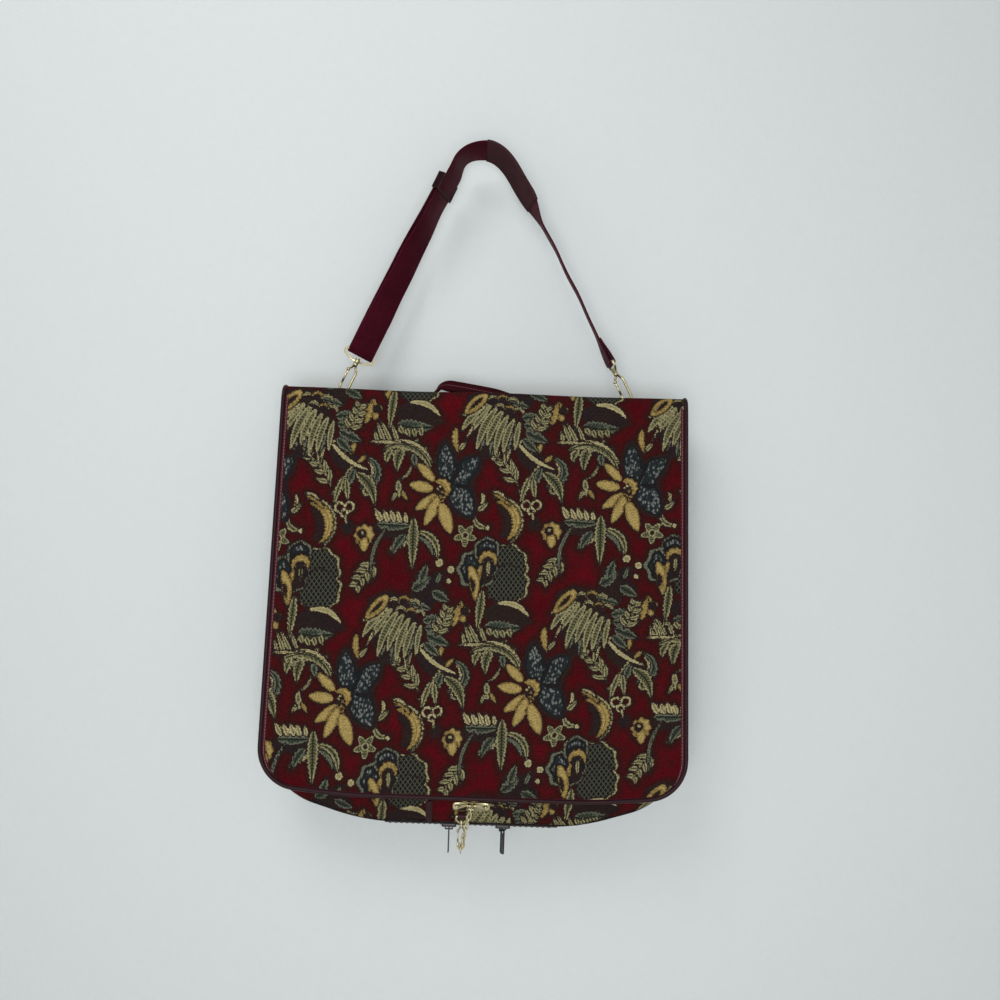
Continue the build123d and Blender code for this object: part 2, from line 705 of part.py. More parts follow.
def handle():
    """A slack padded handle, flat where it is sewn down and leaning back between."""
    path = FilletPolyline(*handle_route, radius=bend_radii(handle_route))
    slices = []
    for step in range(handle_stations + 1):
        place = step / handle_stations
        along = path % place
        lean = eased(place, handle_lean_shares, [0, 0, handle_lean, handle_lean, 0, 0])
        through = Vector(along.Z, 0, -along.X).rotate(Axis((0, 0, 0), tuple(along)), lean)
        frame = Plane(origin=path @ place, x_dir=through, z_dir=along)
        slices.append(frame * chamfer(Rectangle(handle_thickness, handle_width).vertices(), handle_edge))
    return loft(slices, ruled=True)


def handle_patches():
    patches = []
    for side in (-1, 1):
        plane = Plane.XY.offset(terrace_z + seat_gap)
        shape = RectangleRounded(patch_length, patch_width, patch_corner)
        patches.append(extrude(plane * Pos(bag_offset + side * handle_span / 2, 0) * shape, patch_thickness))
    return Compound(children=patches)


def named_parts():
    parts = {
        "bag_body": bag_body(),
        "edge_piping": edge_piping(),
        "zip_tape": zip_tape(),
        "zip_teeth": zip_teeth(),
        "zip_slider_left": zip_slider(slider_left_x, 0),
        "zip_slider_right": zip_slider(slider_right_x, pull_turn),
        "zip_pull_left": zip_pull(slider_left_x, 0),
        "zip_pull_right": zip_pull(slider_right_x, pull_turn),
        "slot_plate": slot_plate(),
        "plate_rivets": plate_rivets(),
        "hanger_chain": hanger_chain(),
        "clip_tab": clip_tab(),
        "clip_loop": clip_frame.location * hook_loop(clip_hook),
        "clip_hook": clip_frame.location * hook_body(clip_hook, link_wire),
        "clip_gate": clip_frame.location * hook_gate(clip_hook),
        "handle": handle(),
        "handle_patches": handle_patches(),
        "shoulder_strap": shoulder_strap(),
        "strap_return": strap_return(),
        "strap_slide": strap_slide(),
    }
    for name, end in (("left", left_end), ("right", right_end)):
        parts[f"d_ring_{name}"] = d_ring(end)
        parts[f"ring_tab_{name}"] = ring_tab(end)
        parts[f"strap_loop_{name}"] = end.loop_frame.location * hook_loop(strap_hook)
        parts[f"snap_hook_{name}"] = end.frame.location * hook_body(strap_hook, ring_wire)
        parts[f"snap_gate_{name}"] = end.frame.location * hook_gate(strap_hook)
    return parts


os.makedirs("parts", exist_ok=True)
for name, part in named_parts().items():
    export_step(part, f"parts/{name}.step")
    print(name, round(part.volume, 1))
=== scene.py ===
import bpy
import bmesh
import json
import math
import numpy as np
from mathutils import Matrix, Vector

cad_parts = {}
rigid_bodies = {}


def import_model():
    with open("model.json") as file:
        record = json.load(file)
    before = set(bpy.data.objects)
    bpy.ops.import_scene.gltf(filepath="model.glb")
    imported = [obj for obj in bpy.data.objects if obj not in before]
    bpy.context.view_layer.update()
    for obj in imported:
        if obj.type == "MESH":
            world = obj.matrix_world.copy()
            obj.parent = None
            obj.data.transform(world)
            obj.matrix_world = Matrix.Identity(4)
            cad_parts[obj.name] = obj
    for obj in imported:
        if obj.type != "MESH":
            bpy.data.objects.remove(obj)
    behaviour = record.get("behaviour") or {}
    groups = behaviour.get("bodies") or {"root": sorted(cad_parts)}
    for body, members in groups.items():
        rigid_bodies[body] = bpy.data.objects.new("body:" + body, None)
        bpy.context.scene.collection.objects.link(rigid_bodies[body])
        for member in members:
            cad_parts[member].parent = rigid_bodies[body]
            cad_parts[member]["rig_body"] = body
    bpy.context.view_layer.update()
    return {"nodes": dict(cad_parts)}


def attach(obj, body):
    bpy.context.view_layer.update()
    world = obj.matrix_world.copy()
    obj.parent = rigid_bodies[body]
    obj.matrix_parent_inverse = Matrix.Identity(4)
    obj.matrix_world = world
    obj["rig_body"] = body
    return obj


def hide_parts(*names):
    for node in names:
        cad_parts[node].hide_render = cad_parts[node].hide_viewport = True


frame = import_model()
scene = bpy.context.scene
nodes = frame["nodes"]
print("frame loaded,", len(nodes), "nodes")


# helpers for shader trees
def put(tree, kind, sockets=None, **settings):
    node = tree.nodes.new("ShaderNode" + kind)
    for key, value in settings.items():
        setattr(node, key, value)
    for key, value in (sockets or {}).items():
        if isinstance(value, bpy.types.NodeSocket):
            tree.links.new(value, node.inputs[key])
        else:
            node.inputs[key].default_value = value
    return node


def treeOf(*values):
    return next(value.id_data for value in values if isinstance(value, bpy.types.NodeSocket))


def calc(operation, a, b=0.0):
    return put(treeOf(a, b), "Math", {0: a, 1: b}, operation=operation).outputs[0]


def times(a, b):
    return calc("MULTIPLY", a, b)


def plus(a, b):
    return calc("ADD", a, b)


def minus(a, b):
    return calc("SUBTRACT", a, b)


def absolute(a):
    return calc("ABSOLUTE", a)


def remap(value, low=0.0, high=1.0, first=0.0, last=1.0, curve="LINEAR"):
    sockets = {0: value, 1: low, 2: high, 3: first, 4: last}
    return put(value.id_data, "MapRange", sockets, interpolation_type=curve).outputs[0]


def blendColor(amount, low, high, mode="MIX"):
    sockets = {0: amount, 6: low, 7: high}
    return put(treeOf(amount, low, high), "Mix", sockets, data_type="RGBA", blend_type=mode).outputs[2]


def axesOf(vector):
    return put(vector.id_data, "SeparateXYZ", {0: vector}).outputs


def noise(coords, scale, detail, roughness=0.5):
    sockets = {"Vector": coords, "Scale": scale, "Detail": detail, "Roughness": roughness}
    return put(coords.id_data, "TexNoise", sockets).outputs[0]


def shadeBy(color, value):
    grey = put(value.id_data, "CombineColor", {0: value, 1: value, 2: value}).outputs[0]
    return blendColor(1.0, color, grey, "MULTIPLY")


def tone(red, green, blue):
    parts = [c / 255 for c in (red, green, blue)]
    return tuple(p / 12.92 if p < 0.04045 else ((p + 0.055) / 1.055) ** 2.4 for p in parts) + (1.0,)


def newGroup(name, inputs, outputs):
    tree = bpy.data.node_groups.new(name, "ShaderNodeTree")
    for title, kind, value in inputs:
        socket = tree.interface.new_socket(title, in_out="INPUT", socket_type="NodeSocket" + kind)
        if value is not None:
            socket.default_value = value
    for title in outputs:
        tree.interface.new_socket(title, in_out="OUTPUT", socket_type="NodeSocketFloat")
    return tree, tree.nodes.new("NodeGroupInput").outputs


def closeGroup(tree, values):
    end = tree.nodes.new("NodeGroupOutput")
    for title, value in values.items():
        tree.links.new(value, end.inputs[title])


def useGroup(name, sockets):
    return put(treeOf(*sockets.values()), "Group", sockets, node_tree=bpy.data.node_groups[name]).outputs


def newMaterial(name, **constants):
    material = bpy.data.materials.new(name)
    material.use_nodes = True
    tree = material.node_tree
    shader = tree.nodes["Principled BSDF"]
    for title, value in constants.items():
        shader.inputs[title.replace("_", " ")].default_value = value
    return material, tree, shader


def dress(shader, color, rough=None, height=None, strength=0.0, distance=0.0):
    # the colour, roughness and bump of a finished material
    tree = shader.id_data
    tree.links.new(color, shader.inputs["Base Color"])
    if rough is not None:
        tree.links.new(rough, shader.inputs["Roughness"])
    if height is not None:
        bump = put(tree, "Bump", {"Height": height, "Strength": strength, "Distance": distance})
        tree.links.new(bump.outputs[0], shader.inputs["Normal"])


# woven threads: a bump height, a random shade for each crossing and a slow shade
def makeWeaveGroup():
    tree, given = newGroup(
        "wovenThreads", [("Coords", "Vector", None), ("Across", "Float", 700.0), ("Along", "Float", 700.0)],
        ["Height", "Speck", "Slow"])
    axes = axesOf(given["Coords"])
    x, y = times(axes[0], given["Across"]), times(axes[1], given["Along"])
    cellX, cellY = calc("FLOOR", x), calc("FLOOR", y)
    cell = put(tree, "CombineXYZ", {0: cellX, 1: cellY})
    speck = put(tree, "TexWhiteNoise", {"Vector": cell.outputs[0]}, noise_dimensions="2D")
    waveX = absolute(calc("SINE", times(x, math.pi)))
    waveY = absolute(calc("SINE", times(y, math.pi)))
    over = absolute(calc("MODULO", plus(cellX, cellY), 2.0))
    height = plus(times(waveX, over), times(waveY, minus(1.0, over)))
    slow = noise(given["Coords"], 24.0, 3.0)
    closeGroup(tree, {"Height": height, "Speck": speck.outputs["Value"], "Slow": slow})


# grain for vinyl and lacquer: fine pebbles, soft smudges and worn patches
def makeGrainGroup():
    tree, given = newGroup(
        "finishGrain", [("Coords", "Vector", None), ("Scale", "Float", 900.0), ("Wear", "Float", 0.5)],
        ["Pebble", "Smudge", "Worn"])
    pebble = put(tree, "TexVoronoi", {"Vector": given["Coords"], "Scale": given["Scale"]})
    smudge, patches = noise(given["Coords"], 60.0, 4.0), noise(given["Coords"], 260.0, 6.0, 0.7)
    worn = remap(patches, minus(0.75, times(given["Wear"], 0.25)), 0.8)
    closeGroup(tree, {"Pebble": pebble.outputs["Distance"], "Smudge": smudge, "Worn": worn})


# a row of stitches along a line: Along runs with the seam, Across is the distance from it
def makeStitchGroup():
    tree, given = newGroup(
        "stitchRow", [("Along", "Float", 0.0), ("Across", "Float", 0.0), ("Pitch", "Float", 0.0035),
                      ("Width", "Float", 0.0006)], ["Thread", "Dent"])
    step = calc("FRACT", calc("DIVIDE", given["Along"], given["Pitch"]))
    onRun = calc("LESS_THAN", absolute(minus(step, 0.5)), 0.36)
    side = calc("DIVIDE", absolute(given["Across"]), given["Width"])
    thread = times(onRun, calc("LESS_THAN", side, 1.0))
    closeGroup(tree, {"Thread": thread, "Dent": remap(side, 0.0, 3.0, 1.0, 0.0)})


makeWeaveGroup()
makeGrainGroup()
makeStitchGroup()


# helpers for meshes
def addGrid(bm, points, layers=None):
    # a create_grid sheet moved onto rows x columns of points, with a value for each named vertex layer
    for name in layers or {}:
        if name not in bm.verts.layers.float:
            bm.verts.layers.float.new(name)
    rows, columns = points.shape[:2]
    made = bmesh.ops.create_grid(bm, x_segments=columns - 1, y_segments=rows - 1, size=1.0)["verts"]
    for vert, place in zip(made, points.reshape(-1, 3)):
        vert.co = place
    for name, values in (layers or {}).items():
        layer = bm.verts.layers.float[name]
        for vert, value in zip(made, np.asarray(values).reshape(-1)):
            vert[layer] = value


def writeUv(bm, uvName, firstLayer, secondLayer, shift=0.0):
    uv = bm.loops.layers.uv.new(uvName)
    first, second = bm.verts.layers.float[firstLayer], bm.verts.layers.float[secondLayer]
    for face in bm.faces:
        for corner in face.loops:
            corner[uv].uv = (corner.vert[first], corner.vert[second] - shift)


def finishPiece(name, bm, material, body, smoothAngle=None, recalc=True):
    bmesh.ops.remove_doubles(bm, verts=bm.verts, dist=1e-6)
    if recalc:
        bmesh.ops.recalc_face_normals(bm, faces=bm.faces)
    mesh = bpy.data.meshes.new(name)
    bm.to_mesh(mesh)
    bm.free()
    piece = bpy.data.objects.new(name, mesh)
    scene.collection.objects.link(piece)
    mesh.materials.append(material)
    mesh.shade_smooth()
    if smoothAngle is not None:
        mesh.set_sharp_from_angle(angle=math.radians(smoothAngle))
    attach(piece, body)
    return piece


def lengthsOf(places):
    return np.concatenate([[0], np.cumsum(np.linalg.norm(np.diff(places, axis=0), axis=1))])


def downRuns(grid):
    # lengths down each column of a grid
    hop = np.linalg.norm(np.diff(grid, axis=0), axis=2)
    return np.concatenate([np.zeros((1, grid.shape[1])), np.cumsum(hop, axis=0)])


def resample(places, count, endpoint=True):
    run = lengthsOf(places)
    at = np.linspace(0, run[-1], count, endpoint=endpoint)
    return np.stack([np.interp(at, run, places[:, k]) for k in range(places.shape[1])], axis=1)


def headings(places):
    along = np.gradient(places, axis=0)
    return along / np.linalg.norm(along, axis=1)[:, None]


def ease(value, low, high):
    share = np.clip((np.asarray(value, float) - low) / (high - low), 0, 1)
    return share * share * (3 - 2 * share)


# the closed bag: two leaves over a crest, sizes in metres
bag = {
    "centre": 0.010, "crest": -0.358, "low": -0.926, "crestHalf": 0.2835, "lowHalf": 0.2985,
    "knee": 0.149, "rise": 0.012, "corner": 0.050,
    "frontTop": -0.041, "frontLow": -0.059, "rearTop": 0.017, "rearLow": 0.035,
    "slitY": -0.012, "terrace": -0.3708, "roll": 0.016,
    "keelLow": -0.967, "keelSlope": 0.306, "keelBend": 0.2274, "keelMidX": 0.194, "keelMidZ": -0.850,
    "keelCorner": 0.100, "rearKeel": 0.78, "puff": 0.0075, "waveLength": 0.3, "step": 0.0020, "cornerSteps": 20,
    "frontRows": 276, "rearRows": 170, "gussetRows": 20, "grooveDepth": 0.03, "grooveRows": 3, "quietX": 0.045,
    "crestReach": 0.05, "inset": 0.0085, "fullness": 0.0022, "pucker": 0.0011, "bandDepth": 0.0032,
    "crestWave": 0.0011, "crestSag": 0.0008, "seamColumns": 22, "seamStart": 0.0036, "cornerDrop": 0.0035,
    "bindingEnd": 0.0078, "bindingFull": 0.0072, "stitchAt": 0.0055, "stitchPitch": 0.0046, "stitchHalf": 0.0005,
}


def columnShares():
    # even columns, closer together round the bottom corners
    inner = bag["lowHalf"] - bag["corner"]
    count = int(2 * inner / bag["step"])
    middle = np.linspace(-inner, inner, count + 1)
    turn = np.linspace(0, math.pi / 2, bag["cornerSteps"] + 1)[1:]
    outer = inner + bag["corner"] * np.sin(turn)
    return np.concatenate([-outer[::-1], middle, outer]) / bag["lowHalf"]


def bottomLine(x):
    inner = bag["lowHalf"] - bag["corner"]
    past = np.clip(np.abs(x) - inner, 0, bag["corner"])
    lift = bag["rise"] * np.clip((np.abs(x) - bag["knee"]) / (bag["lowHalf"] - bag["knee"]), 0, 1) ** 1.4
    return bag["low"] + lift + bag["corner"] - np.sqrt(bag["corner"] ** 2 - past ** 2)


def keelLine(x):
    x = np.abs(x)
    slope = bag["keelLow"] + bag["keelSlope"] * np.clip(x - bag["knee"], 0, None)
    bend = bag["keelMidZ"] - np.sqrt(np.clip(bag["keelCorner"] ** 2 - (x - bag["keelMidX"]) ** 2, 0, None))
    return np.where(x < bag["keelBend"], slope, bend)


def panelGrid(topZ, yTop, yLow, rows, facing):
    # one outer panel, rows from the top down, softly filled out by a few long waves
    shares = columnShares()
    c = shares[None, :]
    v = np.linspace(0, 1, rows)[:, None]
    z = topZ + v * (bottomLine(shares * bag["lowHalf"])[None, :] - topZ)
    down = (bag["crest"] - z) / (bag["crest"] - bag["low"])
    x = c * (bag["crestHalf"] + (bag["lowHalf"] - bag["crestHalf"]) * down)
    y = yTop + (yLow - yTop) * down + 0 * c
    edge = (1 - np.abs(c) ** 5) * np.clip(v * 9, 0, 1) ** 0.7 * np.clip((1 - v) * 8, 0, 1) ** 0.6
    w = x / bag["waveLength"]
    swell = (0.55 + 0.24 * np.sin(5.1 * w + 1.2) * np.sin(3.3 * v + 0.4) + 0.16 * np.sin(9.0 * v + 4.0 * w)
             + 0.1 * np.sin(17 * w - 6 * v) + 0.05 * np.sin(29 * v + 11 * np.sin(3 * w)))
    low = np.exp(-((1 - v) / 0.09) ** 2) * np.sin(23 * w + 1.7 * np.sin(7 * w)) * 0.22
    y = y + facing * bag["puff"] * edge * (swell + low)
    return np.stack([x + bag["centre"], y, z], axis=-1)


def smoothRows(stops):
    # a soft line through a few stops, at even steps
    stops = np.asarray(stops, float)
    share, columns = np.linspace(0, 1, len(stops)), range(stops.shape[1])
    fine = np.stack([np.interp(np.linspace(0, 1, 240), share, stops[:, k]) for k in columns], axis=1)
    kernel = np.hanning(41) / np.hanning(41).sum()
    longer = np.concatenate([2 * fine[0] - fine[20:0:-1], fine, 2 * fine[-1] - fine[-2:-22:-1]])
    soft = np.stack([np.convolve(longer[:, k], kernel, "valid") for k in columns], axis=1)
    return resample(soft, bag["gussetRows"] + 1)


crestZ, terraceZ = bag["crest"], bag["terrace"]
frontCrest = smoothRows([
    (bag["frontTop"], crestZ - bag["roll"]), (-0.0392, crestZ - 0.006), (-0.033, crestZ), (-0.027, crestZ + 0.0005),
    (-0.021, crestZ - 0.001), (-0.0155, crestZ - 0.008), (bag["slitY"], terraceZ)])
rearCrest = smoothRows([
    (bag["rearTop"], terraceZ - bag["roll"]), (0.0155, terraceZ - 0.006), (0.0115, terraceZ - 0.0005),
    (0.004, terraceZ), (-0.004, terraceZ), (bag["slitY"], terraceZ)])
# across a gusset from its piping to the slit: share of the depth, share of the drop
frontGusset = smoothRows([
    (0, 0), (0.11, 0.04), (0.25, 0.5), (0.385, 0.97), (0.5, 1.0), (0.615, 0.97), (0.8, 0.6), (1, 0.2)])
rearGusset = smoothRows([(0, 0), (0.14, 0.3), (0.35, 0.8), (0.5, 1.0), (0.68, 0.85), (0.84, 0.55), (1, 0.3)])


def edgeLoop(panel):
    return np.concatenate([panel[:-1, 0], panel[-1, :-1], panel[::-1, -1]])


def outwardOf(loop):
    along = headings(loop[:, [0, 2]])
    return np.stack([along[:, 1], 0 * along[:, 1], -along[:, 0]], axis=1)


def gussetGrid(loop, crestLine, gusset, dropShare, bandDepth):
    # the strip from the piping round to the slit; its ends run into the crest, and a band dips under the zip
    outward = outwardOf(loop)
    x = loop[:, 0] - bag["centre"]
    under = ease(-outward[:, 2], 0.1, 0.75)
    drop = np.clip(loop[:, 2] - keelLine(x), 0, None) * under * dropShare
    run = lengthsOf(loop)
    pleat = np.sin(run * 118 + 2.4 * np.sin(run * 13)) + 0.6 * np.sin(run * 207 + 1.1)
    quiet = ease(np.abs(x), bag["quietX"], 2 * bag["quietX"])
    fromCrest = ease(loop[0, 2] - loop[:, 2], 0.0, bag["crestReach"])
    rows = []
    for k, (deep, fall) in enumerate(gusset):
        band = math.exp(-((deep - 0.5) / 0.2) ** 4) if bandDepth else 0.0
        place = loop.copy()
        place[:, 1] += (bag["slitY"] - loop[:, 1]) * deep
        place[:, 2] -= drop * fall
        inset = bag["inset"] * deep ** 2 * (1 - under)
        full = (bag["fullness"] * math.sin(math.pi * deep) - bandDepth * band) * (1 - under)
        pucker = bag["pucker"] * (pleat - 0.8) * math.sin(math.pi * min(1, deep * 1.6))
        pucker = pucker * (0.3 + 0.7 * under) * quiet * (1 - 0.8 * band)
        place += outward * (full - inset + pucker)[:, None]
        target = np.stack([loop[:, 0], np.full(len(loop), crestLine[k, 0]),
                           loop[:, 2] + crestLine[k, 1] - crestLine[0, 1]], axis=1)
        rows.append(place + (target - place) * (1 - fromCrest)[:, None])
    # the slit's groove between the leaves
    slit = rows[-1]
    for k in range(1, bag["grooveRows"] + 1):
        rows.append(slit - outward * (bag["grooveDepth"] * k / bag["grooveRows"] * fromCrest)[:, None])
    return np.stack(rows, axis=0)


# the tapestry: simple leaf, lobe and arc shapes on a half-drop repeat, in pattern units of 1.4 mm
tapestry = {
    "unit": 0.0014, "middle": 482.0, "top": 394.0, "across": 187.0, "shift": -92.0, "down": 198.0,
    "skewU": 517, "skewV": 490, "outline": 1.4, "far": -14.0, "deep": 6.0, "touch": -0.7, "plain": 0.2,
    "wavyWidth": 4.2, "wavyLength": 13,
}
layerNames = ["dark", "green", "blue", "olive", "gold", "cream", "net"]


def patternOf(points, outward=None):
    # flat pattern units: across to the right, down the panel
    u = tapestry["middle"] + (points[..., 0] - bag["centre"]) / tapestry["unit"]
    v = tapestry["top"] + (bag["crest"] - points[..., 2]) / tapestry["unit"]
    if outward is not None:
        run = downRuns(points) / tapestry["unit"]
        u = u[0][None, :] + outward[None, :, 0] * run
        v = v[0][None, :] - outward[None, :, 2] * run
    # the cloth was cut a little askew
    offV = v - tapestry["skewV"]
    return u, v + (0.037 + 0.000215 * offV) * (u - tapestry["skewU"] - 0.16 * offV)


# a feathered frond: a thin bent stem with leaves on both sides that grow shorter towards its tip
def frond(colour, x, y, angle, length, bend, count, leafLength, leafWidth, spread=52):
    leaves = [(x, y, angle, length, 2.4, bend)]
    c, s = math.cos(math.radians(angle)), math.sin(math.radians(angle))
    for step in range(count):
        q = (step + 0.5) / count
        along, aside = q * length, bend * math.sin(math.pi * q)
        baseX, baseY = x + along * c - aside * s, y + along * s + aside * c
        for side in (-1, 1):
            leaves.append((baseX, baseY, angle + side * spread, leafLength * (1 - 0.5 * q), leafWidth, side))
    return [(colour + " leaf", leaves)]


# rows of shapes: colour and kind, then x, y (down) from the motif's middle and the sizes of each
# leaf and petal: angle, length, width, bend if any; disc: radius; ring: radius, half width;
# lobe: radius, count, depth, phase; crescent: radius, first and last angle, width
bloomShapes = [
    ("dark petal", [(-4, -3, -93, 41, 23), (-1, 1, -41, 44, 26), (2, -3, 60, 45, 29)]),
    ("dark disc", [(10, -1, 14)]),
    ("blue petal", [(-4, -2, -93, 37, 18), (0, 0, -41, 39, 20), (3, -1, 60, 39, 23)]),
    ("blue disc", [(9, 0, 10.5)]), ("dark leaf", [(2, -1, -66, 22, 1.6), (6, 2, 6, 19, 1.6)]),
    ("gold petal", [(-16, -3, -135, 24, 9), (-17, 5, -169, 24.5, 10.5), (-11, 11, 148, 27, 10),
        (-10, 13, 117, 31, 10.5), (-8, 20, 70, 31, 12.5)]),
    ("gold crescent", [(-11.5, 7, 9, -110, 35, 8.5)]), ("dark lobe", [(-9, 8, 5.5, 7, 0.25, 0)]),
    ("olive disc", [(-11.5, 5, 1.3)]), ("gold disc", [(-7.5, 8, 1.3), (-9, 12.5, 1.2)]),
    ("cream disc", [(-9.5, 3, 1.1)]), ("gold disc", [(-5.5, 14, 1.3), (-7, 17, 1.1)]),
    ("olive leaf", [(-39, -18, 132, 19, 2.2, -3)]), ("olive petal", [(-52, -3, 84, 16, 5.5)]),
    ("gold leaf", [(-48, 7, 58, 11, 3.6)]), ("olive leaf", [(-53, 8, 118, 10, 3.4)]),
]
plumeShapes = [
    ("dark leaf", [(-29, -27, 34, 66, 40), (-1, -27, 100, 64, 44)]),
    ("olive crescent", [(-5, -22, 5.5, -175, 0, 2.6)]), ("gold crescent", [(5, -23, 5.5, -170, 10, 2.4)]),
    ("olive crescent", [(15, -20, 5.5, -165, 20, 2.6), (2, -14, 5, -170, 5, 2.4)]),
    ("gold crescent", [(12, -12, 5, -165, 15, 2.2)]), ("olive crescent", [(21, -10, 5, -160, 25, 2.4)]),
    ("green leaf", [(18, -1, 104, 33, 9, 2), (8, -5, 109, 42, 10, 2), (-1, -11, 112, 42, 10, 2)]),
    ("olive petal", [(23, -1, 98, 29, 5.4, 1), (17, -4, 106, 36, 6.4, 2), (11, -8, 106, 43, 6.6, 3),
        (5, -12, 113, 38, 7.2, 2), (-1, -15, 114, 46, 7.2, 3), (-7, -18, 124, 33, 7.4, 2),
        (-11, -20, 131, 37, 7, 2), (-14, -21, 147, 25, 6.6)]),
    ("gold petal", [(-11, -30, 136, 30, 12)]), ("dark leaf", [(-15, -26, 136, 20, 4.4)]),
    ("cream leaf", [(-24, 3, 116, 15, 1.8), (15, 25, 102, 15, 1.8, 1)]),
    ("green leaf", [(25, -5, -8, 22, 9), (27, 2, 8, 25, 10), (29, 9, 24, 25, 10), (27, 16, 42, 20, 8)]),
    ("olive leaf", [(46, -5, -64, 15, 4), (52, -3, -72, 17, 4), (58, -3, -80, 15, 3.6)]),
]
scrollShapes = [
    *frond("olive", -22, 17, -131, 40, 4, 4, 15, 4.2, 36), ("dark leaf", [(-26, -24, 36, 60, 20, 3)]),
    ("green crescent", [(9, 4, 14.5, -75, 105, 8)]), ("cream crescent", [(8, 3, 11, -60, 60, 1.8)]),
    ("green disc", [(14, 22, 4.2)]), ("olive ring", [(14, 22, 3.6, 0.8)]),
    ("olive leaf", [(1, -4, 129, 37, 9.5, -4)]), ("green leaf", [(1, 0, 112, 24, 7)]),
    ("olive leaf", [(-10, 8, 108, 29, 5.5, 1), (-7, 10, 84, 21, 5.5), (3, 4, 58, 37, 10.5, -5)]),
    ("cream petal", [(-25, -27, 36, 49, 3.6, 4)]), ("cream crescent", [(-16, -20, 8, -165, 40, 2.8)]),
    ("gold petal", [(-4, -14, -68, 13, 5), (4, -6, -40, 10, 4)]), ("dark crescent", [(46, 8, 31, -128, -8, 17)]),
    ("olive leaf", [(23, -23, -104, 15, 3.8), (30, -24, -112, 22, 4), (37, -24, -118, 25, 4),
        (44, -24, -112, 22, 3.8), (58, -22, -48, 9, 4), (66, -15, -36, 9, 4), (50, -23, 104, 27, 10, 3),
        (38, -20, 112, 16, 7, 2)]),
    ("green leaf", [(62, -17, 88, 16, 6.5, 2)]), ("olive crescent", [(46, 8, 31.5, -126, -8, 9)]),
    ("cream crescent", [(46, 8, 35, -118, -20, 2.4)]), ("cream leaf", [(16, -26, 1, 34, 2)]),
]
crescentShapes = [
    ("dark crescent", [(7, 9, 14, -86, 75, 13)]), ("olive crescent", [(7, 9, 25, -98, 55, 5)]),
    ("gold crescent", [(7, 9, 20.5, -92, 58, 8.5)]), ("gold leaf", [(3, -21, 38, 22, 5, -2)]),
    ("cream leaf", [(3, -22, 30, 16, 2.2, -2)]), ("olive lobe", [(-23, 21, 11.5, 5, 0.5, 20)]),
    ("dark disc", [(-23, 21, 2.6)]), ("olive crescent", [(-5, 4, 9, 60, 200, 5)]), ("cream disc", [(-1, 14, 2.0)]),
    ("olive leaf", [(-11, -3, -40, 13, 5)]), ("cream crescent", [(-14, -15, 8, -50, 50, 3)]),
    ("gold leaf", [(-36, -85, 82, 25, 6, 2)]), ("olive leaf", [(-32, -63, -50, 11, 4)]),
]
roseShapes = [
    ("gold lobe", [(8, 11, 10.5, 8, 0.18, 0)]), ("gold petal", [(8, 13, 88, 14, 9)]),
    ("dark disc", [(5.5, 10, 4.8)]), ("olive disc", [(6, 9, 1.5)]), ("dark lobe", [(-9, 3, 7, 6, 0.2, 0)]),
    ("cream ring", [(-18, -16, 4.4, 0.8), (-8, -16, 4.4, 0.8), (-13, -10, 3.2, 0.8)]),
    ("cream leaf", [(-12, -9, 80, 10, 1.8)]),
]
branchShapes = [
    *frond("olive", -25, 15, 128, 32, 2, 4, 14, 4.4, 50), ("dark leaf", [(-28, -19, 8, 52, 24, -3)]),
    ("green leaf", [(-24, -21, 4, 34, 10)]),
    ("cream leaf", [(-20, -24, -120, 14, 5.5), (-13, -23, -116, 13, 5), (-7, -23, -112, 13, 5),
        (-1, -22, -108, 12, 4.6), (5, -22, -100, 10, 4)]),
    ("olive leaf", [(10, -7, 150, 25, 9, 2)]), ("green leaf", [(4, -11, 122, 22, 8, 2)]),
    ("green crescent", [(16, 8, 17, -95, 10, 8)]), ("olive crescent", [(16, 8, 21, -98, 18, 6)]),
    ("olive leaf", [(12, -27, 90, 50, 10)]), ("green leaf", [(-16, -17, 103, 52, 3, 6)]),
]
shellShapes = [
    ("olive lobe", [(19, -18, 22.5, 9, 0.1, 10), (21, 0, 22, 9, 0.1, 30)]),
    ("net lobe", [(17.5, -18, 20.5, 9, 0.09, 10), (19.5, 0, 20, 9, 0.09, 30)]),
    ("green lobe", [(-10, -16, 20.5, 8, 0.12, 0)]), ("blue lobe", [(-9, -16, 17, 8, 0.12, 0)]),
    ("green lobe", [(-1, -34, 13, 6, 0.1, 30)]), ("blue lobe", [(-1, -34, 10, 6, 0.1, 30)]),
    ("dark disc", [(-0.5, -29, 7)]), ("dark petal", [(0, -25, 92, 24, 12)]),
    ("gold crescent", [(0.5, -23, 7.5, 150, 390, 5.5)]), ("gold petal", [(-6, -19, 96, 30, 5.5, 2)]),
    ("olive leaf", [(1, -23, 90, 15, 3.4)]), ("gold petal", [(-17, -19, 80, 34, 9.5, -2)]),
    ("dark leaf", [(-16, -8, 80, 17, 4.4, -1)]), ("olive leaf", [(-4, 5, 96, 40, 8)]),
    ("dark leaf", [(-2, 27, 12, 50, 26)]), ("cream petal", [(12, 18, 24, 34, 5, -5)]),
    ("green leaf", [(0, 40, 4, 36, 14, 2)]),
    ("olive leaf", [(2, 42, 60, 9, 5), (9, 44, 66, 9, 5), (16, 44, 70, 9, 5), (23, 43, 74, 9, 5)]),
    ("gold lobe", [(-26, 26, 10.5, 5, 0.34, 60)]), ("dark disc", [(-21, 25, 4.5)]),
    ("gold leaf", [(-32, 39, -75, 22, 7)]), *frond("olive", -49, 47, -68, 30, 2, 4, 13, 4),
]
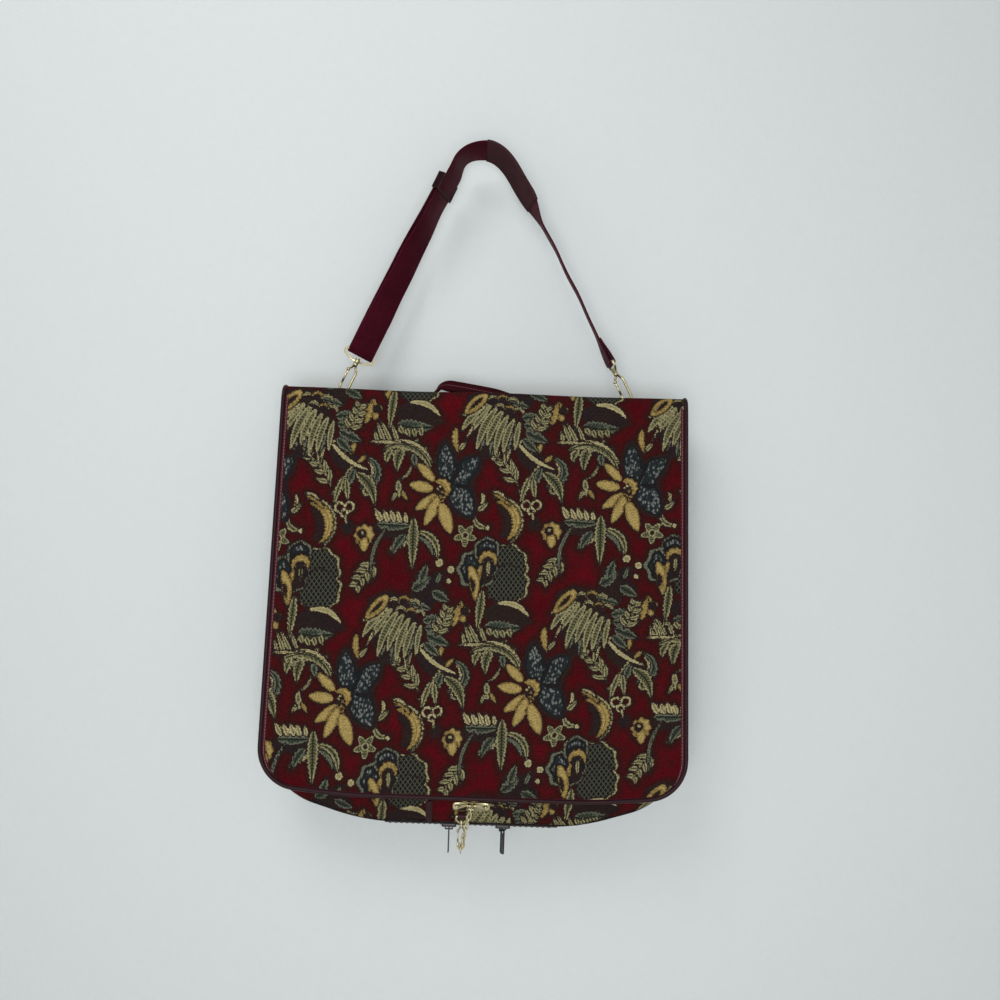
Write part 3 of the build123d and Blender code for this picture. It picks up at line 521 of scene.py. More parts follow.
dotShapes = [
    ("dark lobe", [(2, -2, 21, 5, 0.4, 15)]),
    ("green leaf", [(-14, -2, -34, 22, 10), (6, 0, 30, 20, 9), (-20, 10, 16, 26, 10), (-6, -10, -70, 18, 8)]),
    ("dark leaf", [(8, -2, -60, 22, 7)]), ("green leaf", [(10, -8, -70, 12, 4)]),
    ("cream disc", [(12, -28, 3.6), (24, -21, 3.2), (22, -10, 2.2)]),
]
motifs = [
    ((430, 590), dotShapes), ((590, 545), branchShapes), ((540, 470), scrollShapes), ((495, 425), plumeShapes),
    ((490, 515), crescentShapes), ((545, 523), roseShapes), ((490, 585), shellShapes), ((450, 485), bloomShapes),
]


def shapeValue(kind, x, y, size):
    # how far inside a shape each point lies, its place across a leaf (0 to 1) and along it, in pattern units
    if kind in ("leaf", "petal"):
        angle, length, width, bend = (*size, 0)[:4]
        c, s = math.cos(math.radians(angle)), math.sin(math.radians(angle))
        along, aside = x * c + y * s, y * c - x * s
        q = np.clip(along / length, 0, 1)
        aside = aside - bend * np.sin(math.pi * q)
        if kind == "leaf":
            half = width / 2 * np.sin(math.pi * q ** 0.72) ** 0.8
            if width > tapestry["wavyWidth"] and length > tapestry["wavyLength"]:
                half = half * (1 + 0.17 * np.cos(along * 1.45 + np.sign(aside) * 0.8))
            place = np.clip(0.5 + 0.5 * aside / (width / 2), 0, 1)
        else:
            half = width / 2 * np.sin(math.pi * (0.06 + 0.94 * q ** 0.95)) ** 0.62
            place = np.clip(0.36 - 0.34 * np.abs(aside) / (width / 2), 0, 1)
        beyond = np.maximum(-along, along - length)
        return np.where(beyond > 0, -np.hypot(beyond, aside), half - np.abs(aside)), place, along
    away, plain = np.hypot(x, y), np.full(x.shape, tapestry["plain"])
    if kind == "disc":
        return size[0] - away, plain, away
    if kind == "ring":
        return size[1] - np.abs(away - size[0]), plain, away
    turn = np.degrees(np.arctan2(y, x))
    if kind == "lobe":
        radius, count, depth, phase = size
        edge = radius * (1 - depth * (0.5 - 0.5 * np.cos(np.radians(count * (turn - phase)))))
        return edge - away, np.clip(away / radius, 0, 1) * 0.4, away
    radius, first, last, width = size
    q = ((turn - first) % 360) / (last - first)
    half = width / 2 * np.sin(math.pi * np.clip(q, 0, 1)) ** 0.8
    half = half * (1 + 0.22 * np.cos(q * radius * (last - first) * 0.0265))
    value = np.where((q > 0) & (q < 1), half - np.abs(away - radius), tapestry["far"])
    return value, np.clip(0.5 + (away - radius) / width, 0, 1), q * radius


def paintTapestry(u, v):
    # signed distances to the shapes of each colour; a later shape covers an earlier one
    far, touch = tapestry["far"], tapestry["touch"]
    layers = {name: np.full(u.shape, far) for name in layerNames}
    across, along = np.full(u.shape, tapestry["plain"]), np.zeros(u.shape)
    for (originX, originY), shapes in motifs:
        atV = v - originY
        row = np.round(atV / tapestry["down"])
        atU = u - originX - row * tapestry["shift"]
        x = atU - tapestry["across"] * np.round(atU / tapestry["across"])
        y = atV - tapestry["down"] * row
        for label, places in shapes:
            colour, kind = label.split()
            for shapeX, shapeY, *size in places:
                inside, place, run = shapeValue(kind, x - shapeX, y - shapeY, size)
                rim = inside if colour == "dark" else inside + tapestry["outline"]
                # blue shapes run into each other, the rest cut an outline
                for name in layerNames[1:]:
                    if not name == colour == "blue":
                        layers[name] = np.minimum(layers[name], -rim)
                layers["dark"] = np.maximum(layers["dark"], rim)
                if colour != "dark":
                    layers[colour] = np.maximum(layers[colour], inside)
                    across = np.where(inside > touch, place, across)
                    along = np.where(inside > touch, run, along)
    layers = {name: np.clip(value, far, tapestry["deep"]) for name, value in layers.items()}
    layers.update({"leafAcross": across, "leafAlong": along})
    return layers


def makeTapestryMaterial():
    material, tree, shader = newMaterial("tapestryCloth", Specular_IOR_Level=0.06)
    cloth = put(tree, "UVMap", uv_map="cloth").outputs[0]
    threads = useGroup("wovenThreads", {"Coords": cloth, "Across": 700.0, "Along": 900.0})
    speck, slow = threads["Speck"], threads["Slow"]
    jitter = times(minus(speck, 0.5), 1.1)

    def layer(name):
        return put(tree, "Attribute", attribute_name=name).outputs["Fac"]

    def span(value, low, high, first=0.0, last=1.0):
        return remap(value, low, high, first, last, "SMOOTHSTEP")

    def frayed(value, amount):
        # edges waver from thread to thread
        return plus(value, times(jitter, amount))

    def mask(name):
        return span(plus(layer(name), jitter), -0.35, 0.35)

    across, along = layer("leafAcross"), layer("leafAlong")
    fromVein = absolute(minus(across, 0.5))
    vein = span(fromVein, 0.05, 0.11, 1.0, 0.0)
    barbRun = plus(times(along, 0.34), times(fromVein, -2.4))
    barb = span(calc("SINE", times(barbRun, 6.28)), 0.2, 0.9)

    def feather(name, heart, rim, veinTone, barbs):
        shade = blendColor(span(frayed(layer(name), 0.6), 0.6, 2.1), rim, heart)
        shade = blendColor(times(barb, barbs), shade, rim)
        return blendColor(vein, shade, veinTone)

    # red ground, darker near the shapes and in loose patches
    haze = span(layer("dark"), -11.0, 0.4, 0.0, 0.94)
    filler = span(frayed(noise(cloth, 46.0, 3.0, 0.6), 0.06), 0.5, 0.66, 0.0, 0.6)
    ground = blendColor(slow, tone(60, 6, 13), tone(102, 10, 22))
    color = blendColor(calc("MAXIMUM", haze, filler), ground, tone(52, 21, 19))
    color = blendColor(mask("dark"), color, blendColor(slow, tone(48, 36, 26), tone(34, 26, 34)))
    # blue petals with pale flecks
    stretched = put(tree, "VectorMath", {0: cloth, 1: (1.0, 0.62, 1.0)}, operation="MULTIPLY").outputs[0]
    fleck = put(tree, "TexVoronoi", {"Vector": stretched, "Scale": 300.0, "Randomness": 0.85})
    fleckMask = span(frayed(fleck.outputs["Distance"], 0.2), 0.3, 0.5, 1.0, 0.0)
    fleckMask = times(fleckMask, span(layer("blue"), 1.0, 2.4))
    blueTone = blendColor(span(layer("blue"), 0.4, 2.6), tone(27, 30, 32), tone(37, 42, 44))
    blueTone = blendColor(fleckMask, blueTone, tone(120, 123, 118))
    # a net of slanted lines for the shells
    axes = axesOf(cloth)
    slant = times(axes[1], 0.75)
    lines = [absolute(calc("SINE", times(lean(axes[0], slant), 480.0))) for lean in (plus, minus)]
    knots = span(frayed(calc("MINIMUM", *lines), 0.2), 0.22, 0.5, 1.0, 0.0)
    shades = {
        "green": feather("green", tone(44, 51, 44), tone(104, 108, 90), tone(36, 38, 30), 0.4),
        "blue": blueTone,
        "net": blendColor(knots, tone(28, 28, 25), tone(78, 78, 66)),
        "olive": feather("olive", tone(60, 63, 45), tone(150, 143, 104), tone(44, 44, 32), 0.5),
        "gold": feather("gold", tone(170, 148, 90), tone(132, 110, 62), tone(138, 114, 64), 0.4),
        "cream": feather("cream", tone(140, 130, 92), tone(174, 163, 120), tone(100, 91, 62), 0.3),
    }
    for name, shade in shades.items():
        color = blendColor(mask(name), color, shade)
    # each thread takes the dye a little differently, and the hollows between threads are darker: painted shade of
    # the weave
    dye = remap(speck, first=0.62, last=1.16)
    weaveShade = remap(threads["Height"], first=0.66, last=1.08)
    color = shadeBy(color, times(dye, weaveShade))
    # vinyl binding along the sewn edges, with its row of stitches
    edge, seam = layer("edge"), layer("seam")
    binding = remap(edge, bag["bindingEnd"], bag["bindingFull"])
    stitch = useGroup("stitchRow", {
        "Along": seam, "Across": minus(edge, bag["stitchAt"]), "Pitch": bag["stitchPitch"],
        "Width": bag["stitchHalf"]})
    vinyl = blendColor(slow, tone(48, 15, 22), tone(78, 34, 42))
    # the dents beside the stitches are darkened: painted shade in the stitch grooves
    vinyl = blendColor(times(stitch["Dent"], 0.6), vinyl, tone(28, 8, 12))
    vinyl = blendColor(stitch["Thread"], vinyl, tone(124, 84, 88))
    color = blendColor(binding, color, vinyl)
    weave = times(threads["Height"], minus(1.0, binding))
    height = minus(weave, times(times(stitch["Dent"], binding), 0.8))
    rough = remap(binding, first=0.92, last=0.42)
    dress(shader, color, rough, height, strength=0.55, distance=0.0006)
    return material


def edgeDistance(grid, loop):
    # distance to the sewn edges and the place along them, found only near them
    away, seam = np.ones(grid.shape[:2]), np.zeros(grid.shape[:2])
    ring, run = loop[:, [0, 2]], lengthsOf(loop)
    band, chunk = bag["seamColumns"], 120
    picks = np.zeros(grid.shape[:2], bool)
    picks[:, :band] = picks[:, -band:] = picks[-band:, :] = True
    points = grid[..., [0, 2]][picks]
    best, place = np.ones(len(points)), np.zeros(len(points))
    for start in range(0, len(ring), chunk):
        gaps = np.linalg.norm(points[:, None, :] - ring[None, start:start + chunk, :], axis=2)
        nearest = gaps.argmin(axis=1)
        gap = gaps[np.arange(len(points)), nearest]
        place = np.where(gap < best, run[start + nearest], place)
        best = np.minimum(best, gap)
    # the binding narrows round the bottom corners
    below = bag["low"] + bag["corner"] - points[:, 1]
    away[picks] = np.where(below > 0, best + bag["cornerDrop"] * ease(below, 0, bag["corner"] * 0.7), best)
    seam[picks] = place
    return away, seam


def makeBag():
    bm = bmesh.new()
    pieces, loops, strips = [], {}, {}
    for side, topZ, facing, crestLine, gusset, dropShare, bandDepth in (
            ("front", bag["crest"], -1, frontCrest, frontGusset, 1.0, bag["bandDepth"]),
            ("rear", bag["terrace"], 1, rearCrest, rearGusset, bag["rearKeel"], 0.0)):
        panel = panelGrid(topZ - bag["roll"], bag[side + "Top"], bag[side + "Low"], bag[side + "Rows"], facing)
        loop = edgeLoop(panel)
        strip = gussetGrid(loop, crestLine, gusset, dropShare, bandDepth)
        outward = outwardOf(loop)
        loops[side], strips[side] = loop, strip
        # the crest waves and sags a little between its ends
        columns = panel[0]
        count = len(columns)
        arch = np.sin(np.linspace(0, 1, count) * math.pi)
        sag = arch * (bag["crestWave"] * np.sin(columns[:, 0] * 21 + 0.8) - bag["crestSag"])
        crest = np.stack([
            np.stack([columns[:, 0], np.full(count, y), z + sag * math.sin(math.pi * k / bag["gussetRows"])], axis=1)
            for k, (y, z) in enumerate(crestLine)])
        up = np.repeat([[0.0, 0.0, 1.0]], count, axis=0)
        for grid, base in ((panel, None), (strip, outward), (crest, up)):
            u, v = patternOf(grid, base)
            if side == "rear":
                u = 2 * tapestry["middle"] - u
            away, seam = np.ones(grid.shape[:2]), np.zeros(grid.shape[:2])
            if base is None:
                away, seam = edgeDistance(grid, loop)
            elif base is outward:
                away = downRuns(grid) + bag["seamStart"]
                seam = np.repeat(lengthsOf(loop)[None, :], len(grid), axis=0)
            pieces.append((grid, u, v, away, seam))
    layers = paintTapestry(*[np.concatenate([piece[k].reshape(-1) for piece in pieces]) for k in (1, 2)])
    first = 0
    for grid, u, v, away, seam in pieces:
        values = {name: layers[name][first:first + u.size] for name in layers}
        values.update({"edge": away, "seam": seam, "clothU": u * tapestry["unit"], "clothV": -v * tapestry["unit"]})
        addGrid(bm, grid, values)
        first += u.size
    bmesh.ops.remove_doubles(bm, verts=bm.verts, dist=2e-5)
    writeUv(bm, "cloth", "clothU", "clothV")
    piece = finishPiece("garmentBag", bm, makeTapestryMaterial(), "bag")
    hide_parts("bag_body")
    return loops, strips


bagLoops, bagStrips = makeBag()
print("bag body made")


# vinyl, webbing, brass and enamel
def objectCoords(tree):
    return put(tree, "TexCoord").outputs["Object"]


def makeGrained(name, tones, scale, wear, wornShare, rough, bump=None, uvName=None, **constants):
    # dark, light and worn tones, a range of roughness, the grain that is felt and its strength
    material, tree, shader = newMaterial(name, **constants)
    grain = useGroup("finishGrain", {"Coords": objectCoords(tree), "Scale": scale, "Wear": wear})
    color = blendColor(grain["Smudge"], tones[0], tones[1])
    color = blendColor(times(grain["Worn"], wornShare), color, tones[2])
    height, strength = (grain[bump[0]], bump[1]) if bump else (None, 0.0)
    if uvName:
        axes = axesOf(put(tree, "UVMap", uv_map=uvName).outputs[0])
        stitch = useGroup("stitchRow", {"Along": axes[0], "Across": axes[1], "Pitch": 0.0042, "Width": 0.0007})
        color = blendColor(stitch["Thread"], color, tone(98, 58, 62))
        height = minus(height, times(stitch["Dent"], 1.2))
    rough = remap(grain["Smudge"], first=rough[0], last=rough[1])
    dress(shader, color, rough, height, strength, distance=0.0004)
    return material


def makeVinyl(name, dark, light, uvName=None, gloss=0.3, dull=0.0):
    return makeGrained(
        name, (dark, light, tone(104, 70, 74)), scale=950.0, wear=0.4, wornShare=0.25, bump=("Pebble", 0.35),
        rough=(0.34 + dull, 0.56 + dull), uvName=uvName, Roughness=0.42, Specular_IOR_Level=gloss)


def makeBrass(name, *tones):
    return makeGrained(name, tones, scale=1400.0, wear=0.6, wornShare=0.5, rough=(0.2, 0.42), bump=("Smudge", 0.15),
                       Metallic=1.0, Roughness=0.3)


def makeWebbing(name, dark, light, uvName=None):
    material, tree, shader = newMaterial(
        name, Roughness=0.8, Specular_IOR_Level=0.05, Sheen_Weight=0.25, Sheen_Roughness=0.12,
        Sheen_Tint=tone(240, 214, 218))
    ribbon = put(tree, "UVMap", uv_map=uvName).outputs[0] if uvName else objectCoords(tree)
    threads = useGroup("wovenThreads", {"Coords": ribbon, "Across": 560.0, "Along": 900.0})
    color = blendColor(threads["Slow"], dark, light)
    color = shadeBy(color, remap(threads["Speck"], first=0.7, last=1.15))
    if uvName:
        # both rounded edges of the webbing are lightened: a painted highlight along them
        edgeHighlight = calc("GREATER_THAN", absolute(axesOf(ribbon)[1]), 0.0172)
        color = blendColor(times(edgeHighlight, 0.5), color, light)
    dress(shader, color, height=threads["Height"], strength=0.6, distance=0.0006)
    return material


# the zip's middle plane leans with the bag; the coil fades out beside it
zipCoil = {"midY": 0.0291, "midZ": 0.4991, "lean": 0.0147, "turns": 3100.0, "outer": 0.0030, "inner": 0.0024}


def makeZipTape():
    material, tree, shader = newMaterial("zipTape", Roughness=0.8)
    coords = objectCoords(tree)
    threads = useGroup("wovenThreads", {"Coords": coords, "Across": 900.0, "Along": 900.0})
    axes = axesOf(coords)
    lean = times(plus(axes[2], zipCoil["midZ"]), zipCoil["lean"])
    across = absolute(minus(plus(axes[1], zipCoil["midY"]), lean))
    side = absolute(minus(axes[0], bag["centre"]))
    turns = calc("SINE", times(plus(side, axes[2]), zipCoil["turns"]))
    coil = remap(across, zipCoil["outer"], zipCoil["inner"])
    color = blendColor(threads["Speck"], tone(26, 18, 20), tone(48, 34, 36))
    # coil turns in a metal tone with near-black gaps between them; the dark gaps are painted shade
    metal = blendColor(remap(turns, -0.4, 0.6), tone(14, 12, 12), tone(92, 84, 78))
    color = blendColor(coil, color, metal)
    ridges = times(coil, plus(turns, 1.6))
    rough = remap(coil, first=0.85, last=0.4)
    dress(shader, color, rough, plus(threads["Height"], ridges), strength=0.5, distance=0.0005)
    return material


weltVinyl = makeVinyl("weltVinyl", tone(28, 8, 13), tone(44, 15, 21), "seam", 0.16)
plainVinyl = makeVinyl("plainVinyl", tone(30, 9, 14), tone(50, 17, 23), None, 0.2)
webbing = makeWebbing("strapWebbing", tone(50, 8, 20), tone(70, 14, 30), "ribbon")
tabWebbing = makeWebbing("tabWebbing", tone(50, 8, 20), tone(70, 14, 30))
brass = makeBrass("agedBrass", tone(166, 154, 112), tone(218, 210, 172), tone(134, 112, 72))
darkBrass = makeBrass("lacqueredBrass", tone(26, 14, 17), tone(50, 30, 32), tone(66, 46, 42))
enamel = makeGrained("blackEnamel", (tone(20, 17, 17), tone(38, 32, 32), tone(96, 84, 72)), scale=1200.0, wear=0.5,
                     wornShare=0.6, rough=(0.25, 0.5), Roughness=0.35)
zipTape = makeZipTape()
print("materials made")


# tubes and bands along a line of stations
def stationGrid(places, acrossDirs, throughDirs, section):
    # one ring of the section at each station, closed round
    ring = np.concatenate([section, section[:1]])
    return places[:, None] + acrossDirs[:, None] * ring[None, :, 0:1] + throughDirs[:, None] * ring[None, :, 1:2]


def addTube(bm, places, grid, values, uvName, valueName, shift=0.0):
    # the grid with a map of the run along it and a value round its section
    runs = np.repeat(lengthsOf(places)[:, None], grid.shape[1], axis=1)
    addGrid(bm, grid, {"along": runs, valueName: np.repeat(values[None, :], len(places), axis=0)})
    writeUv(bm, uvName, "along", valueName, shift)


def steadyFrames(places):
    # side directions that turn as little as they can along a line
    along = headings(places)
    side = np.cross(along[0], (0.31, 0.9, 0.2))
    sides = []
    for step in along:
        side = side - step * side.dot(step)
        side = side / np.linalg.norm(side)
        sides.append(side)
    sides = np.array(sides)
    return sides, np.cross(along, sides)


def roundSection(width, thick, edge, steps=4):
    # a flat band with soft edges, as (across, through) pairs
    half, deep = width / 2 - edge, thick / 2 - edge
    points = []
    for signX, signY, start in ((1, 1, 0), (-1, 1, 90), (-1, -1, 180), (1, -1, 270)):
        for angle in math.radians(start) + np.linspace(0, math.pi / 2, steps):
            points.append((signX * half + edge * math.cos(angle), signY * deep + edge * math.sin(angle)))
    return np.array(points)


def stationPiece(name, places, acrossDirs, throughDirs, section, material, slot, uvName):
    bm = bmesh.new()
    grid = stationGrid(places, acrossDirs, throughDirs, section)
    addTube(bm, places, grid, np.append(section[:, 0], section[0, 0]), uvName, "across")
    bmesh.ops.remove_doubles(bm, verts=bm.verts, dist=1e-6)
    bmesh.ops.holes_fill(bm, edges=[e for e in bm.edges if e.is_boundary], sides=0)
    return finishPiece(name, bm, material, "bag")


# piping round both panels and over the crest ends
piping = {"radius": 0.0031, "around": 10, "step": 0.004, "stitchAt": 0.009}


def crestRun(side, end, crestLine):
    return np.stack([np.full(len(crestLine), bagLoops[side][end, 0]), crestLine[:, 0], crestLine[:, 1]], axis=1)


def makePiping():
    line = np.concatenate([
        bagLoops["front"], crestRun("front", -1, frontCrest)[1:], crestRun("rear", -1, rearCrest)[::-1][1:],
        bagLoops["rear"][::-1][1:], crestRun("rear", 0, rearCrest)[1:], crestRun("front", 0, frontCrest)[::-1][1:-1],
        bagLoops["front"][:1]])
    places = resample(line, int(lengthsOf(line)[-1] / piping["step"]), endpoint=False)
    kernel = np.array([1, 2, 3, 2, 1]) / 9
    for k in range(3):
        wrapped = np.concatenate([places[-2:, k], places[:, k], places[:2, k]])
        places[:, k] = np.convolve(wrapped, kernel, "valid")
    places = np.concatenate([places, places[:1]])
    turns = np.linspace(0, 2 * math.pi, piping["around"], endpoint=False)
    section = np.stack([np.cos(turns), np.sin(turns)], axis=1) * piping["radius"]
    grid = stationGrid(places, *steadyFrames(places), section)
    grid[-1] = grid[0]
    bm = bmesh.new()
    arcs = np.append(turns, 2 * math.pi) * piping["radius"]
    addTube(bm, places, grid, arcs, "seam", "around", piping["stitchAt"])
    piece = finishPiece("edgeWelt", bm, weltVinyl, "bag")
    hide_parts("edge_piping")


makePiping()
print("piping made")


# a folded vinyl cover over the zip's left end
cover = {
    "left": -0.0545, "right": -0.0425, "firstRow": 2, "lastRow": 10, "lift": 0.0012, "thick": 0.0008,
    "lowBand": 0.02, "outward": (0, -0.75, -0.66),
}


def makeZipCover():
    strip = bagStrips["front"]
    x, z = strip[0, :, 0], strip[0, :, 2]
    columns = np.where((z < bag["low"] + cover["lowBand"]) & (x > cover["left"]) & (x < cover["right"]))[0]
    sheet = strip[cover["firstRow"]:cover["lastRow"] + 1][:, columns]
    fold = np.sin(np.linspace(0, math.pi, len(columns)))[None, :] ** 0.5
    bm = bmesh.new()
    addGrid(bm, sheet + np.array(cover["outward"]) * (cover["lift"] * (0.35 + fold))[..., None])
    bmesh.ops.solidify(bm, geom=bm.faces[:], thickness=cover["thick"])
    finishPiece("zipEndCover", bm, plainVinyl, "bag")


makeZipCover()
print("zip cover made")


# hardware: merged copies of the solids with round shading
def softCopy(node, name, material, angle, bevel=0.0):
    bm = bmesh.new()
    bm.from_mesh(nodes[node].data)
    bmesh.ops.remove_doubles(bm, verts=bm.verts, dist=2e-6)
    piece = finishPiece(name, bm, material, nodes[node]["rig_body"], smoothAngle=angle, recalc=False)
    if bevel:
        soft = piece.modifiers.new("softEdges", "BEVEL")
        soft.width, soft.segments, soft.limit_method = bevel, 2, "ANGLE"
        soft.angle_limit = math.radians(38)
    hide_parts(node)
    return piece


def camel(name):
    first, *rest = name.split("_")
    return first + "".join(word.capitalize() for word in rest)


# shoulder strap with its slide, loops and pad; shares run along it from the left loop
strap = {
    "route": [(-0.17424, 0, -0.30347), (-0.0900, 0, -0.1179), (-0.0480, 0, -0.0330), (-0.0270, 0, -0.0015),
              (0.0200, 0, 0.0005), (0.0730, 0, -0.0850), (0.1300, 0, -0.1893), (0.19071, 0, -0.30519)],
    "width": 0.038, "thick": 0.0022, "edge": 0.0009, "lift": 0.00356, "stations": 190,
    "turnShares": [0, 0.2, 0.335, 0.405, 0.45, 0.51, 0.62, 0.7, 0.92, 1],
    "turnAngles": [20, 46, 66, 66, 74, 66, 66, 96, 96, 90],
    "slideShare": 0.3715, "flatShare": 0.035, "tail": 0.040, "ripple": 0.0006, "wrapSteps": 9, "slideSteps": 5,
    "padStart": 0.495, "padEnd": 0.648, "padWider": 0.0016, "padThicker": 0.0026, "padEdge": 0.0014,
    "metalAngle": 40, "metalEdge": 0.0005,
}


def splinePoints(route, name):
    curve = bpy.data.curves.new(name, "CURVE")
    curve.dimensions = "3D"
    spline = curve.splines.new("NURBS")
    spline.points.add(len(route) - 1)
    for point, place in zip(spline.points, route):
        point.co = (*place, 1.0)
    spline.order_u = 3
    spline.use_endpoint_u = True
    spline.resolution_u = 24
    holder = bpy.data.objects.new(name, curve)
    scene.collection.objects.link(holder)
    bpy.context.view_layer.update()
    mesh = bpy.data.meshes.new_from_object(holder)
    places = np.array([v.co for v in mesh.vertices])
    bpy.data.objects.remove(holder)
    bpy.data.meshes.remove(mesh)
    return places


def easedCurve(value, stops, heights):
    result = np.full(np.shape(value), float(heights[-1]))
    for k in range(len(stops) - 2, -1, -1):
        part = heights[k] + (heights[k + 1] - heights[k]) * ease(value, stops[k], stops[k + 1])
        result = np.where(value <= stops[k + 1], part, result)
    return result


def strapFrames(places):
    # across and through directions of the twisted webbing; through points to the back
    along, run = headings(places), lengthsOf(places)
    share = run / run[-1]
    angle = np.radians(easedCurve(share, strap["turnShares"], strap["turnAngles"]))
    flat = np.stack([along[:, 2], 0 * along[:, 0], -along[:, 0]], axis=1)
    across = flat * np.cos(angle)[:, None] + np.array([0, 1, 0]) * np.sin(angle)[:, None]
    return share, along, across, np.cross(along, across)


def wrapStations(place, along, across, through, last, steps):
    # stations round a bar: from the front of it, under the bar, to the back
    turns = np.radians(np.linspace(0, last, steps))[:, None]
    direction = -through * np.cos(turns) - along * np.sin(turns)
    return place + direction * strap["lift"], np.repeat(across[None, :], steps, axis=0), -direction


def joined(*runs):
    # runs of (places, across, through) one after the other
    return [np.concatenate(parts) for parts in zip(*runs)]


def fromSecond(*parts):
    return [part[1:] for part in parts]


def makeStrap():
    spline = splinePoints(strap["route"], "strapLine")
    line = resample(spline, strap["stations"])
    share, along, across, through = strapFrames(line)
    section = roundSection(strap["width"], strap["thick"], strap["edge"])
    slide, flat, lift = strap["slideShare"], strap["flatShare"], strap["lift"]
    tail = strap["tail"] / lengthsOf(spline)[-1]
    offset = easedCurve(share, [0, slide + flat, slide + 2 * flat, 1 - 2 * tail, 1], [-lift, -lift, 0, 0, -lift])
    calm = np.clip(share * 12, 0, 1) * np.clip((1 - share) * 12, 0, 1)
    main = line + through * (offset + strap["ripple"] * np.sin(share * 61) * calm)[:, None]
    # right end: round the bar and back up, sewn to itself
    wrap = wrapStations(line[-1], -along[-1], across[-1], through[-1], 180, strap["wrapSteps"])
    back = share >= 1 - tail
    backOffset = easedCurve(share[back], [1 - tail, 1], [offset[back][0] + strap["thick"] * 0.98, lift])
    backLine = line[back] + through[back] * backOffset[:, None]
    sewn = fromSecond(backLine[::-1], across[back][::-1], -through[back][::-1])
    stations = joined((main, across, through), fromSecond(*wrap), sewn)
    piece = stationPiece("shoulderStrap", *stations, section, webbing, "strap_webbing", "ribbon")
    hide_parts("shoulder_strap")
    # the layer that comes back up to the slide
    low = share <= slide
    wrap = wrapStations(line[0], along[0], across[0], through[0], 180, strap["wrapSteps"])
    topPlaces, topAcross, topThrough = wrapStations(
        line[low][-1], -along[low][-1], across[low][-1], -through[low][-1], 80, strap["slideSteps"])
    stations = joined(wrap, fromSecond(line[low] + through[low] * lift, across[low], through[low]),
                      fromSecond(topPlaces, topAcross, -topThrough))
    returnPiece = stationPiece("strapReturn", *stations, section, webbing, "strap_webbing", "ribbon")
    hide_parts("strap_return")
    # shoulder pad sewn round the webbing, right of the crown
    padded = (share > strap["padStart"]) & (share < strap["padEnd"])
    padSection = roundSection(
        strap["width"] + strap["padWider"], strap["thick"] + strap["padThicker"], strap["padEdge"])
    pad = stationPiece("shoulderPad", main[padded], across[padded], through[padded], padSection, padVinyl,
                       "welt_vinyl", "ribbon")
    metal = [softCopy(node, camel(node), material, strap["metalAngle"], strap["metalEdge"])
             for node, material in (
                 ("strap_slide", darkBrass), ("strap_loop_left", brass), ("strap_loop_right", brass))]


padVinyl = makeVinyl("padVinyl", tone(44, 25, 28), tone(68, 44, 46), None, 0.05, 0.4)
makeStrap()
print("strap made")


# carry handle: lies slack, and leans forward between its sewn ends
handle = {
    "route": [(-0.0802, 0, -0.3663), (-0.0680, 0, -0.3663), (-0.0620, 0, -0.3560), (-0.0540, 0, -0.3445),
              (-0.0200, 0, -0.3490), (0.0400, 0, -0.3585), (0.0700, 0, -0.3632), (0.0860, 0, -0.3663),
              (0.1002, 0, -0.3663)],
    "width": 0.020, "thick": 0.005, "edge": 0.0022, "edgeSteps": 5, "stations": 110,
    "leanShares": [0, 0.11, 0.25, 0.55, 0.87, 1], "leanAngles": [0, 0, 58, 58, 0, 0],
}


def makeHandle():
    line = resample(splinePoints(handle["route"], "handleLine"), handle["stations"])
    along = headings(line)
    share = np.linspace(0, 1, handle["stations"])
    lean = np.radians(easedCurve(share, handle["leanShares"], handle["leanAngles"]))
    up = np.stack([-along[:, 2], 0 * share, along[:, 0]], axis=1)
    across = np.array([0, 1, 0]) * np.cos(lean)[:, None] + up * np.sin(lean)[:, None]
    section = roundSection(handle["width"], handle["thick"], handle["edge"], handle["edgeSteps"])
    through = np.cross(along, across)
    piece = stationPiece("carryHandle", line, across, through, section, handleVinyl, "welt_vinyl", "seam")
    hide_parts("handle")


handleVinyl = makeVinyl("handleVinyl", tone(36, 5, 10), tone(54, 11, 18), "seam", 0.05, 0.25)
makeHandle()
print("handle made")


# metal and sewn pieces that keep their solid shape
for node in ("slot_plate", "plate_rivets", "hanger_chain", "clip_loop", "clip_hook", "clip_gate", "d_ring_left",
             "d_ring_right", "snap_hook_left", "snap_hook_right", "snap_gate_left", "snap_gate_right"):
    softCopy(node, camel("brass_" + node), brass, angle=66)
for node in ("zip_slider_left", "zip_slider_right", "zip_pull_left", "zip_pull_right"):
    softCopy(node, camel("enamel_" + node), enamel, angle=40, bevel=0.0004)
for node, material, slot in (
        ("zip_tape", zipTape, "zip_tape"), ("zip_teeth", enamel, "zip_teeth"),
        ("handle_patches", plainVinyl, "welt_vinyl"), ("clip_tab", plainVinyl, "welt_vinyl"),
        ("ring_tab_left", tabWebbing, "strap_webbing"), ("ring_tab_right", tabWebbing, "strap_webbing")):
    softCopy(node, camel("sewn_" + node), material, angle=40, bevel=0.0003)
print("hardware dressed")


# stage, light and camera
stageSet = {"wallY": 0.055, "floorZ": -1.5, "reach": 3.0}


